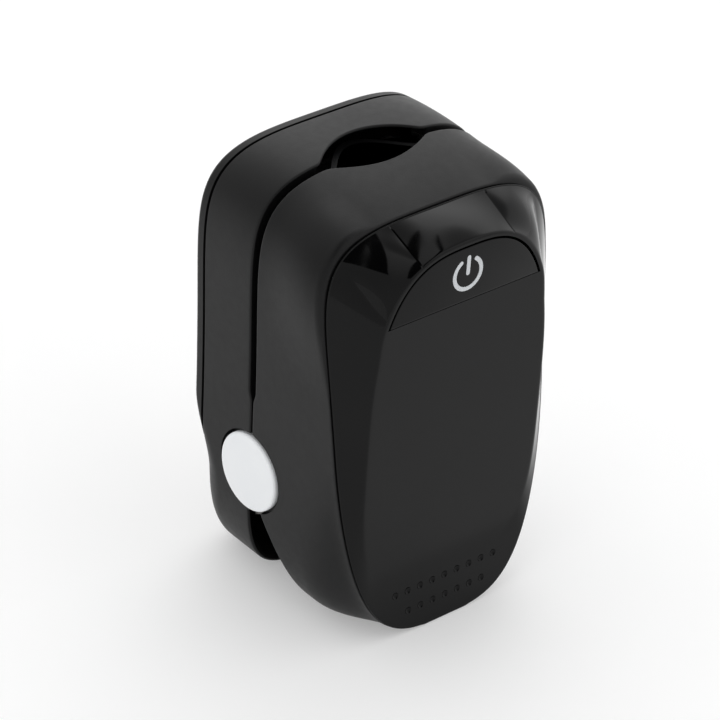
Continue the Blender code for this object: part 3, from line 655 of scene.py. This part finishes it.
# ---- Fascia and button -------------------------------------------------------
def facet_columns():
    """The seam and the plateau's edge with points paired along the facets' edges.

    Also returns, for each pair, how far the facet between them bulges and how deep a crease is cut.
    """
    seam = half_curve(FRONT_LOW_POWERS, SEAM_TOP_Z, MID_Z, TOP_POWERS, half_width)
    edge = plateau_half()
    halves = []
    for curve, side_z, crease_x in zip((seam, edge), SIDE_CREASE_Z, TOP_CREASE_X):
        length = np.concatenate([[0.0], np.cumsum(np.hypot(*np.diff(curve, axis=0).T))])
        side = length[np.argmax(curve[:, 1] > side_z)]
        crease = length[np.argmax((curve[:, 1] > MID_Z) & (curve[:, 0] < crease_x))]
        stops = (0.0, side, crease - CREASE_WIDTH, crease, crease + CREASE_WIDTH, length[-1])
        wanted = [np.zeros(1)]
        for low, high, steps in zip(stops, stops[1:], FACET_STEPS):
            wanted.append(np.linspace(low, high, steps + 1)[1:])
        wanted = np.concatenate(wanted)
        halves.append(np.stack([np.interp(wanted, length, curve[:, k]) for k in (0, 1)], axis=1))
    side, corner, falling, rising, top = FACET_STEPS
    t = np.linspace(0.0, 1.0, corner + 1)[1:]
    corner_bulge = CORNER_BULGE * 4 * t * (1 - t)
    t = np.linspace(0.0, 1.0, top + 1)[1:]
    top_bulge = TOP_BULGE * (3 * t ** 2 - 2 * t ** 3 - TOP_HOLLOW * t * (1 - t) ** 2)
    bulge = np.concatenate([np.zeros(side + 1), corner_bulge, np.zeros(falling + rising), top_bulge])
    notch = np.array([0.5, 1.0, 0.5, 0.0]) * CREASE_DEPTH
    crease = np.concatenate([np.zeros(side + corner + 1), notch, np.zeros(top)])
    seam, edge = (closed(half) for half in halves)
    edge = inset(edge, -RIM * ramp(edge[:, 1], RIM_Z))
    return [set_down(seam), edge] + [np.concatenate([v, v[-2:0:-1]]) for v in (bulge, crease)]


def front_y(z):
    """Depth of the plateau, and of the apron where the plateau has run out into the seam."""
    apron = seam_y(z) - FASCIA_LIP
    return -softened(-apron, -plateau_y(z), 0.12)


def dimple_tools():
    """Balls that cut the dimples into the apron."""
    ball_r = (DIMPLE_R ** 2 + DIMPLE_DEPTH ** 2) / (2 * DIMPLE_DEPTH)
    tools = []
    for z, count in DIMPLE_ROWS:
        for i in range(count):
            x = DIMPLE_PITCH * (i - (count - 1) / 2)
            y = seam_y(z) - FASCIA_LIP - ball_r + DIMPLE_DEPTH
            bm = bmesh.new()
            place = Matrix.Translation(Vector((x, y, z)) * MM)
            bmesh.ops.create_icosphere(bm, subdivisions=4, radius=ball_r * MM, matrix=place)
            tools.append(add_object("dimple", bm))
    return tools


def button_outline(amount, low):
    """The D of the button with its arc drawn in by amount and its lower edge at height low."""
    half = evenly(plateau_half(), 400)
    loop = inset(closed(half), amount)
    arc = loop[loop[:, 1] > low + 0.1]
    right = arc[arc[:, 0] > 0]
    left = arc[arc[:, 0] <= 0]
    arc = np.concatenate([right[np.argsort(-right[:, 0])], left[np.argsort(-left[:, 0])]])
    corner = np.interp(low, half[:, 1], half[:, 0]) - amount
    return np.concatenate([[(corner, low)], arc, [(-corner, low)]])


def fascia():
    """Glossy front: lip at the seam, facets, creases, plateau, button well and dimples."""
    seam_loop, edge_loop, bulge, crease = facet_columns()
    edge_line = spaced(edge_loop, front_y(edge_loop[:, 1]))

    def seam_ring(drawn_in, forward):
        loop = inset(seam_loop, drawn_in)
        return spaced(loop, seam_y(loop[:, 1]) - forward)

    lip = seam_ring(LIP_IN, FASCIA_LIP)
    slope = edge_line - lip
    reach = np.linalg.norm(slope, axis=1)[:, None]
    last = 1.0 - (EDGE_R / reach.clip(0.5)).clip(0.0, 0.5)
    along = np.roll(edge_line, -1, axis=0) - np.roll(edge_line, 1, axis=0)
    outward = np.cross(along, slope)
    outward /= np.linalg.norm(outward, axis=1, keepdims=True).clip(1e-6)
    outward *= -np.sign(outward[:, 1:2])
    room = (reach / FULL_BULGE).clip(0, 1)

    def face_ring(v):
        v = np.broadcast_to(v, reach.shape)
        raised = bulge[:, None] * room * np.sin(math.pi * v)
        ends = smooth(v / CREASE_FADE) * smooth((1 - v) / CREASE_FADE)
        return lip + slope * v + outward * (raised - crease[:, None] * room * ends)

    def plateau_ring(scale=1.0):
        centre = np.array([0.0, MID_Z + 2.0])
        loop = centre + (inset(edge_loop, EDGE_R) - centre) * scale
        return spaced(loop, front_y(loop[:, 1]))

    rings = [
        seam_ring(WALL + GAP, -FASCIA_BACK),
        seam_ring(WALL + GAP, SEAM_GAP),
        seam_ring(FOOT_IN, SEAM_GAP),
    ]
    rings += fillet(seam_ring(FLANK_IN, SEAM_GAP + 0.08), seam_ring(FLANK_IN, FASCIA_LIP), lip, 4)
    rings += [face_ring(last * v) for v in np.linspace(0.04, 1.0, 26)]
    rings += fillet(face_ring(last), edge_line, plateau_ring(), 6)[1:]
    rings += [plateau_ring(s) for s in np.linspace(0.97, 0.03, 30)]
    face = loft("fascia_front", rings, sharp=FACET_SHARP)
    well = button_outline(0.0, BUTTON_LOW_Z + KEY_SEAM[0])
    tools = [loft("well", [spaced(well, y) for y in (-BEYOND, 0)])]
    cut(face, tools + dimple_tools(), sharp=FACET_SHARP)
    return face


def button_face():
    """Key cap that carries on the plateau, with a fine rounded edge."""
    outline = button_outline(GROOVE, BUTTON_LOW_Z + KEY_SEAM[1])
    rings = [spaced(outline, plateau_y(outline[:, 1]) + back) for back in (KEY_THICK, KEY_EDGE)]
    for angle in (30, 60, 90):
        a = math.radians(angle)
        loop = inset(outline, KEY_EDGE * (1 - math.cos(a)))
        rings.append(spaced(loop, plateau_y(loop[:, 1]) + KEY_EDGE * (1 - math.sin(a))))
    return loft("button_face", rings, sharp=KEY_SHARP)


def stroke(name, path, width):
    """A flat printed stroke with round ends along (x, z) points, a hair above the button."""
    path = np.array(path)
    along = headings(path)
    normal = np.stack([-along[:, 1], along[:, 0]], axis=1) * width / 2
    ends = []
    for point, heading, side in ((path[-1], along[-1], 1), (path[0], along[0], -1)):
        base = math.atan2(heading[1], heading[0])
        for degrees in range(-75, 76, 15):
            a = base + math.radians(degrees) + (0 if side == 1 else math.pi)
            ends.append(point + width / 2 * np.array([math.cos(a), math.sin(a)]))
        if side == 1:
            ends += list((path + normal)[::-1])
    outline = np.array(list(path - normal) + ends)
    rings = [spaced(outline, plateau_y(outline[:, 1]) + lift) for lift in (0.05, -SYMBOL_HEIGHT)]
    return loft(name, rings)


def power_symbol():
    """The generic on-off sign: an open ring with a bar in its gap."""
    ring = []
    for degrees in np.linspace(90 + SYMBOL_OPENING, 450 - SYMBOL_OPENING, 49):
        a = math.radians(degrees)
        ring.append((SYMBOL_R * math.cos(a), SYMBOL_Z + SYMBOL_R * math.sin(a)))
    bar = [(0.0, SYMBOL_Z + rise) for rise in np.linspace(0.05, 2.3, 10)]
    return [stroke("symbol_ring", ring, SYMBOL_STROKE), stroke("symbol_bar", bar, SYMBOL_STROKE)]


# ---- Hinge caps --------------------------------------------------------------
def hinge_cap(word, side):
    """Round cap with a rounded edge and a slight crown."""
    inner, outer = CAP_X
    r = CAP_EDGE_R
    profile = [(CAP_R - 0.15, side * inner), (CAP_R, side * (inner + 0.15))]
    for angle in (0, 20, 45, 70, 90):
        a = math.radians(angle)
        profile.append((CAP_R - r + r * math.cos(a), side * (outer - r + r * math.sin(a))))
    for share in (0.9, 0.7, 0.45, 0.2, 0.03):
        profile.append((CAP_R * share, side * (outer + CAP_CROWN * (1 - share * share))))
    return turned(f"cap_disc_{word}", "X", (HINGE_Y, HINGE_Z), profile)


# ---- Finger pads, flex cable and spring --------------------------------------
def trough(x, face, depth, half, power, sense):
    """Surface of a finger trough; sense is the way it is hollowed along Y."""
    inside = np.clip(1.0 - (np.asarray(x) / half) ** 2, 0.0, 1.0)
    return face + sense * depth * inside ** power


def finger_pad(name, face, shape, half_x, towards):
    """Soft pad in its trough: a crowned sheet with thin rims, cross ribs and a round sensor window."""
    xs = half_x * np.sin(np.linspace(-math.pi / 2, math.pi / 2, PAD_ACROSS))
    low_z, high_z = PAD_Z
    zs = np.linspace(low_z, high_z, PAD_ALONG)
    seat = trough(xs, face, *shape, -towards) + towards * GAP
    thick = PAD_EDGE + (PAD_THICK - PAD_EDGE) * (1.0 - (xs / half_x) ** 4)
    rings = []
    for z in zs:
        ends = smooth(min(z - low_z, high_z - z) / PAD_END)
        rib = 0.5 - 0.5 * math.cos(2 * math.pi * (z - low_z) / RIB_PITCH)
        away = np.hypot(xs, z - SENSOR_Z)
        ribbed = ramp(away, RIB_START) * smooth((half_x - np.abs(xs)) / RIB_RIM)
        top = thick * (PAD_END_SHARE + (1 - PAD_END_SHARE) * ends) - RIB_DEPTH * rib * ribbed * ends
        back = [(x, y, z) for x, y in zip(xs, seat)]
        front = [(x, y + towards * t, z) for x, y, t in zip(xs, seat, top)]
        rings.append(back + front[::-1])
    bm = bmesh.new()
    rows = bridged(bm, rings)
    for row in (rows[0], rows[-1]):
        for i in range(PAD_ACROSS - 1):
            bm.faces.new((row[i], row[i + 1], row[-2 - i], row[-1 - i]))
    pad = add_object(name, bm, sharp=ROUND_SHARP)
    hole = [(WINDOW_R + WINDOW_ROOM, face - BEYOND), (WINDOW_R + WINDOW_ROOM, face + BEYOND)]
    cut(pad, [turned("window_hole", "Y", (0.0, SENSOR_Z), hole, sides=48)], sharp=ROUND_SHARP)
    return pad


def flex_ribbon():
    """Thin ribbon from the main board round below the hinge to the detector board."""
    points = rounded_path(FLEX_PATH, 12)
    along = headings(points)
    normal = np.stack([-along[:, 1], along[:, 0]], axis=1)
    low_x, high_x = FLEX_X
    rings = []
    for point, up in zip(points, normal):
        ring = []
        for x, lift in ((low_x, -1), (high_x, -1), (high_x, 1), (low_x, 1)):
            y, z = point + up * lift * FLEX_THICK / 2
            ring.append((x, y, z))
        rings.append(ring)
    return loft("flex_ribbon", rings, sharp=ROUND_SHARP)


def spring_wire():
    """Coil about the hinge axis with a leg towards each cradle."""
    low_x, high_x = SPRING_X
    turn = np.linspace(math.pi, math.pi + 2 * math.pi * SPRING_TURNS, 241)
    coil = np.stack([
        np.linspace(low_x, high_x, len(turn)),
        HINGE_Y + SPRING_R * np.cos(turn),
        HINGE_Z + SPRING_R * np.sin(turn),
    ], axis=1)
    front_leg = np.array([(low_x, y, z) for y, z in SPRING_FRONT_LEG])
    rear_leg = np.array([(high_x, y, z) for y, z in SPRING_REAR_LEG])
    path = np.concatenate([
        front_leg,
        np.linspace(front_leg[-1], coil[0], 12)[1:-1],
        coil,
        np.linspace(coil[-1], rear_leg[0], 8)[1:],
        rear_leg[1:],
    ])
    return wire("spring_wire", path, SPRING_WIRE_R)


# ---- Materials ---------------------------------------------------------------
class Nodes:
    """A material's node tree, with short calls for the nodes used here."""

    def __init__(self, name):
        self.material = bpy.data.materials.new(name)
        self.material.use_nodes = True
        self.tree = self.material.node_tree
        self.shader = self.tree.nodes["Principled BSDF"]
        self.place = self.tree.nodes.new("ShaderNodeTexCoord").outputs["Object"]

    def link(self, output, node, socket):
        self.tree.links.new(output, node.inputs[socket])

    def set(self, **values):
        for name, value in values.items():
            self.shader.inputs[name.replace("_", " ")].default_value = value

    def noise(self, scale, detail=3.0, rough=0.5, stretch=None):
        node = self.tree.nodes.new("ShaderNodeTexNoise")
        node.inputs["Scale"].default_value = scale
        node.inputs["Detail"].default_value = detail
        node.inputs["Roughness"].default_value = rough
        source = self.place
        if stretch:
            mapping = self.tree.nodes.new("ShaderNodeMapping")
            mapping.inputs["Scale"].default_value = stretch
            self.link(source, mapping, "Vector")
            source = mapping.outputs["Vector"]
        self.link(source, node, "Vector")
        return node.outputs["Fac"]

    def range(self, value, low, high, to_low, to_high):
        node = self.tree.nodes.new("ShaderNodeMapRange")
        for socket, number in zip(
            ("From Min", "From Max", "To Min", "To Max"), (low, high, to_low, to_high)
        ):
            node.inputs[socket].default_value = number
        self.link(value, node, "Value")
        return node.outputs["Result"]

    def tone(self, share, a, b):
        """Base colour from a to b as share runs from 0 to 1."""
        node = self.tree.nodes.new("ShaderNodeMix")
        node.data_type = "RGBA"
        self.link(share, node, 0)
        for socket, colour in ((6, a), (7, b)):
            node.inputs[socket].default_value = (*colour, 1.0)
        self.link(node.outputs[2], self.shader, "Base Color")

    def polish(self, noise, low, high, span=(0.3, 0.7)):
        """Roughness from low to high as a noise runs over its span."""
        self.link(self.range(noise, *span, low, high), self.shader, "Roughness")

    def relief(self, height, strength, distance):
        node = self.tree.nodes.new("ShaderNodeBump")
        node.inputs["Strength"].default_value = strength
        node.inputs["Distance"].default_value = distance
        self.link(height, node, "Height")
        self.link(node.outputs["Normal"], self.shader, "Normal")


def satin_black():
    """Moulded plastic with a fine spark texture."""
    n = Nodes("satin_black")
    cloud = n.range(n.noise(60.0, 2.0), 0.35, 0.65, 0.0, 1.0)
    n.tone(cloud, (0.0030, 0.0030, 0.0032), (0.0042, 0.0042, 0.0044))
    n.polish(n.noise(900.0, 3.0), 0.38, 0.44)
    n.relief(n.noise(5200.0, 2.0, 0.6), 0.25, 0.00004)
    n.set(IOR=1.29)
    return n.material


def gloss_black():
    """Polished plastic with the faint haze and dust of handling."""
    n = Nodes("gloss_black")
    haze = n.range(n.noise(110.0, 4.0, 0.6), 0.4, 0.7, 0.0, 1.0)
    n.tone(haze, (0.0012, 0.0012, 0.0013), (0.0020, 0.0020, 0.0021))
    n.polish(n.noise(380.0, 5.0, 0.65), 0.05, 0.13, (0.35, 0.75))
    n.relief(n.noise(55.0, 2.0), 0.08, 0.0003)
    n.set(IOR=1.27)
    return n.material


def white_cap():
    """Moulded white plastic, a little cool."""
    n = Nodes("white_cap")
    cloud = n.range(n.noise(90.0, 2.0), 0.35, 0.65, 0.0, 1.0)
    n.tone(cloud, (0.885, 0.905, 0.925), (0.915, 0.93, 0.945))
    n.polish(n.noise(1500.0, 3.0), 0.40, 0.52)
    n.relief(n.noise(4200.0, 2.0, 0.6), 0.2, 0.00004)
    return n.material


def printed_grey():
    """Printed ink."""
    n = Nodes("printed_grey")
    n.tone(n.noise(2600.0, 3.0), (0.52, 0.54, 0.56), (0.60, 0.62, 0.64))
    n.polish(n.noise(1500.0, 3.0), 0.35, 0.5)
    return n.material


def soft_rubber():
    """Silicone of the finger pads."""
    n = Nodes("soft_rubber")
    n.tone(n.noise(140.0, 3.0), (0.005, 0.005, 0.0053), (0.008, 0.008, 0.0085))
    n.polish(n.noise(700.0, 3.0), 0.6, 0.8)
    n.relief(n.noise(2600.0, 3.0, 0.6), 0.35, 0.00006)
    n.set(IOR=1.22)
    return n.material


def matte_cradle():
    """Matte plastic inside the finger channel."""
    n = Nodes("matte_cradle")
    n.tone(n.noise(120.0, 2.0), (0.0020, 0.0020, 0.0022), (0.0035, 0.0035, 0.0038))
    n.polish(n.noise(900.0, 3.0), 0.5, 0.65)
    n.relief(n.noise(3500.0, 2.0, 0.6), 0.3, 0.00005)
    n.set(IOR=1.2)
    return n.material


def drawn_steel():
    """Bright steel with fine streaks across X."""
    n = Nodes("drawn_steel")
    streak = n.noise(900.0, 4.0, 0.6, stretch=(8.0, 1.0, 1.0))
    n.tone(streak, (0.50, 0.50, 0.49), (0.66, 0.66, 0.65))
    n.polish(streak, 0.22, 0.38)
    n.set(Metallic=1.0)
    return n.material


def circuit_board():
    """Green solder mask with lighter traces under it."""
    n = Nodes("circuit_board")
    node = n.tree.nodes.new("ShaderNodeTexBrick")
    node.inputs["Scale"].default_value = 420.0
    node.inputs["Mortar Size"].default_value = 0.06
    node.inputs["Color1"].default_value = (0.0, 0.0, 0.0, 1.0)
    node.inputs["Color2"].default_value = (0.15, 0.15, 0.15, 1.0)
    node.inputs["Mortar"].default_value = (1.0, 1.0, 1.0, 1.0)
    n.link(n.place, node, "Vector")
    n.tone(node.outputs["Fac"], (0.012, 0.10, 0.04), (0.03, 0.22, 0.09))
    n.polish(n.noise(800.0, 3.0), 0.3, 0.45)
    n.relief(node.outputs["Fac"], 0.2, 0.00004)
    return n.material


def chip_black():
    """Dark moulded electronic parts."""
    n = Nodes("chip_black")
    n.tone(n.noise(700.0, 3.0), (0.018, 0.018, 0.019), (0.035, 0.035, 0.036))
    n.polish(n.noise(1600.0, 3.0), 0.45, 0.6)
    n.relief(n.noise(3000.0, 2.0), 0.3, 0.00004)
    return n.material


def red_window():
    """Red windows over the light emitter and the photodiode."""
    n = Nodes("red_window")
    n.tone(n.noise(400.0, 2.0), (0.30, 0.05, 0.045), (0.38, 0.07, 0.06))
    n.polish(n.noise(900.0, 2.0), 0.06, 0.14)
    return n.material


def dark_display():
    """Display panel, switched off."""
    n = Nodes("dark_display")
    n.tone(n.noise(300.0, 2.0), (0.006, 0.007, 0.012), (0.012, 0.013, 0.020))
    n.polish(n.noise(700.0, 2.0), 0.05, 0.12)
    return n.material


def cell_wrap():
    """Plain shrink wrap in two tones."""
    n = Nodes("cell_wrap")
    n.tone(n.noise(200.0, 3.0), (0.016, 0.030, 0.026), (0.026, 0.044, 0.038))
    n.polish(n.noise(900.0, 3.0), 0.25, 0.4)
    n.relief(n.noise(500.0, 2.0), 0.2, 0.00006)
    return n.material


def amber_film():
    """Polyimide film with the tracks showing as stripes."""
    n = Nodes("amber_film")
    stripe = n.tree.nodes.new("ShaderNodeTexWave")
    stripe.inputs["Scale"].default_value = 400.0
    n.link(n.place, stripe, "Vector")
    n.tone(stripe.outputs["Fac"], (0.42, 0.17, 0.03), (0.55, 0.27, 0.07))
    n.polish(n.noise(600.0, 2.0), 0.25, 0.4)
    return n.material


def plated_contact():
    """Plated metal of the battery contacts."""
    n = Nodes("plated_contact")
    n.tone(n.noise(900.0, 4.0), (0.34, 0.33, 0.31), (0.46, 0.45, 0.43))
    n.polish(n.noise(1400.0, 3.0), 0.25, 0.4)
    n.set(Metallic=1.0)
    return n.material


def floor_paper():
    """White sheet with a faint even glow, which keeps it near white away from the shadow."""
    n = Nodes("floor_paper")
    n.tone(n.noise(30.0, 3.0), (0.71, 0.71, 0.71), (0.73, 0.73, 0.73))
    n.polish(n.noise(200.0, 3.0), 0.7, 0.9)
    n.set(IOR=1.2, Emission_Color=(1.0, 1.0, 1.0, 1.0), Emission_Strength=FLOOR_GLOW)
    return n.material


def make_materials():
    return {
        "shell_black": satin_black(),
        "gloss_black": gloss_black(),
        "cap_white": white_cap(),
        "cradle_grey": matte_cradle(),
        "silicone": soft_rubber(),
        "steel": drawn_steel(),
        "board_green": circuit_board(),
        "component": chip_black(),
        "clear_window": red_window(),
        "display_glass": dark_display(),
        "cell_wrap": cell_wrap(),
        "flex_amber": amber_film(),
        "contact": plated_contact(),
        "printed": printed_grey(),
    }


# ---- Assembly ----------------------------------------------------------------
def paint(obj, material):
    obj.data.materials.clear()
    obj.data.materials.append(material)


def fit(obj, body, slot, material, *nodes):
    """Finishes a new piece: its material, the body it rides on and the CAD nodes it replaces; slot is not
    used.
    """
    paint(obj, material)
    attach(obj, body)
    if nodes:
        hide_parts(*nodes)


def build_pieces(materials):
    shell, gloss = materials["shell_black"], materials["gloss_black"]
    fit(front_casing(), "display_half", "shell_black", shell, "front_shell")
    fit(rear_casing(), "battery_half", "shell_black", shell, "rear_shell")
    fit(cover_plate(), "battery_cover", "shell_black", shell, "battery_cover")
    fit(fascia(), "display_half", "gloss_black", gloss, "fascia")
    fit(button_face(), "power_button", "gloss_black", gloss, "power_button")
    for piece in power_symbol():
        fit(piece, "power_button", "cap_white", materials["printed"])
    for word, side in (("left", -1), ("right", 1)):
        cap = hinge_cap(word, side)
        fit(cap, "battery_half", "cap_white", materials["cap_white"], f"hinge_cap_{word}")


def build_pads(materials):
    pads = (
        ("rear_pad", "battery_half", REAR_FACE_Y, REAR_TROUGH, REAR_PAD_HALF, -1),
        ("front_pad", "display_half", FRONT_FACE_Y, FRONT_TROUGH, FRONT_PAD_HALF, 1),
    )
    for node, body, face, shape, half_x, towards in pads:
        pad = finger_pad(f"{node}_ribbed", face, shape, half_x, towards)
        fit(pad, body, "silicone", materials["silicone"], node)


def build_bending(materials):
    """The pieces that cross the hinge, painted and standing in for their CAD nodes."""
    pieces = (
        (flex_ribbon(), "flex_amber", "flex_cable", FLEX_HELD),
        (spring_wire(), "steel", "torsion_spring", SPRING_HELD),
    )
    for piece, slot, node, (start, end) in pieces:
        paint(piece, materials[slot])
        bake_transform(piece)
        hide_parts(node)


def paint_nodes(materials):
    """Gives each CAD node the material of its slot."""
    slots = {part["node"]: part["material_slot"] for part in frame["record"]["subparts"]}
    for name, obj in frame["nodes"].items():
        paint(obj, materials[slots[name]])


def sky():
    """Light tent fixed in the world: bright on one side, with soft patches and one black flag.

    Strength depends only on the direction of the light, as a product of steps over cosines.
    """
    world = bpy.data.worlds.new("studio")
    world.use_nodes = True
    tree = world.node_tree
    background = tree.nodes["Background"]
    direction = tree.nodes.new("ShaderNodeTexCoord").outputs["Generated"]

    def towards(vector, low, high, to_low, to_high):
        """A value that goes from to_low to to_high as the cosine to a vector goes from low to high."""
        dot = tree.nodes.new("ShaderNodeVectorMath")
        dot.operation = "DOT_PRODUCT"
        dot.inputs[1].default_value = Vector(vector).normalized()
        tree.links.new(direction, dot.inputs[0])
        step = tree.nodes.new("ShaderNodeMapRange")
        step.interpolation_type = "SMOOTHSTEP"
        tree.links.new(dot.outputs["Value"], step.inputs["Value"])
        for socket, number in zip(
            ("From Min", "From Max", "To Min", "To Max"), (low, high, to_low, to_high)
        ):
            step.inputs[socket].default_value = number
        return step.outputs["Result"]

    def product(a, b):
        node = tree.nodes.new("ShaderNodeMath")
        node.operation = "MULTIPLY"
        tree.links.new(a, node.inputs[0])
        tree.links.new(b, node.inputs[1])
        return node.outputs["Value"]

    light = towards(SKY_BRIGHT_SIDE, *SKY_SPAN, SKY_DIM, SKY_BRIGHT)
    for vector, width, edge, change in SKY_PATCHES:
        low = math.cos(math.radians(width + edge))
        high = math.cos(math.radians(max(width - edge, 0.0)))
        light = product(light, towards(vector, low, high, 1.0, change))
    sides = [towards(vector, at - FLAG_EDGE, at + FLAG_EDGE, 0.0, 1.0) for vector, at in FLAG_SIDES]
    inside = product(product(*sides[:2]), sides[2])
    clear = tree.nodes.new("ShaderNodeMath")
    clear.operation = "SUBTRACT"
    clear.inputs[0].default_value = 1.0
    tree.links.new(inside, clear.inputs[1])
    background.inputs["Color"].default_value = (1.0, 1.0, 1.0, 1.0)
    tree.links.new(product(light, clear.outputs["Value"]), background.inputs["Strength"])
    bpy.context.scene.world = world


def studio():
    """Plain pale floor and the light."""
    bm = bmesh.new()
    bmesh.ops.create_grid(bm, x_segments=8, y_segments=8, size=FLOOR_HALF)
    floor = add_object("floor", bm)
    paint(floor, floor_paper())
    sky()
    bpy.context.scene.view_settings.view_transform = "Standard"


def photo_camera():
    """Camera at the photo's angle, with its roll."""
    a, e, r = (math.radians(v) for v in (CAMERA_AZIMUTH, CAMERA_ELEVATION, CAMERA_ROLL))
    back = Vector((math.sin(a) * math.cos(e), -math.cos(a) * math.cos(e), math.sin(e)))
    right = Vector((math.cos(a), math.sin(a), 0.0))
    up = back.cross(right)
    turned_right = math.cos(r) * right + math.sin(r) * up
    turned_up = -math.sin(r) * right + math.cos(r) * up
    data = bpy.data.cameras.new("camera")
    data.sensor_width = SENSOR_WIDTH
    data.lens = CAMERA_LENS
    data.clip_start, data.clip_end = CAMERA_CLIP
    obj = bpy.data.objects.new("camera", data)
    place = Vector(CAMERA_AIM) + back * CAMERA_DISTANCE
    axes = Matrix((turned_right, turned_up, back)).transposed().to_4x4()
    obj.matrix_world = Matrix.Translation(place * MM) @ axes
    bpy.context.scene.collection.objects.link(obj)
    bpy.context.scene.camera = obj


materials = make_materials()
photo_camera()
studio()
paint_nodes(materials)
build_pieces(materials)
build_pads(materials)
build_bending(materials)
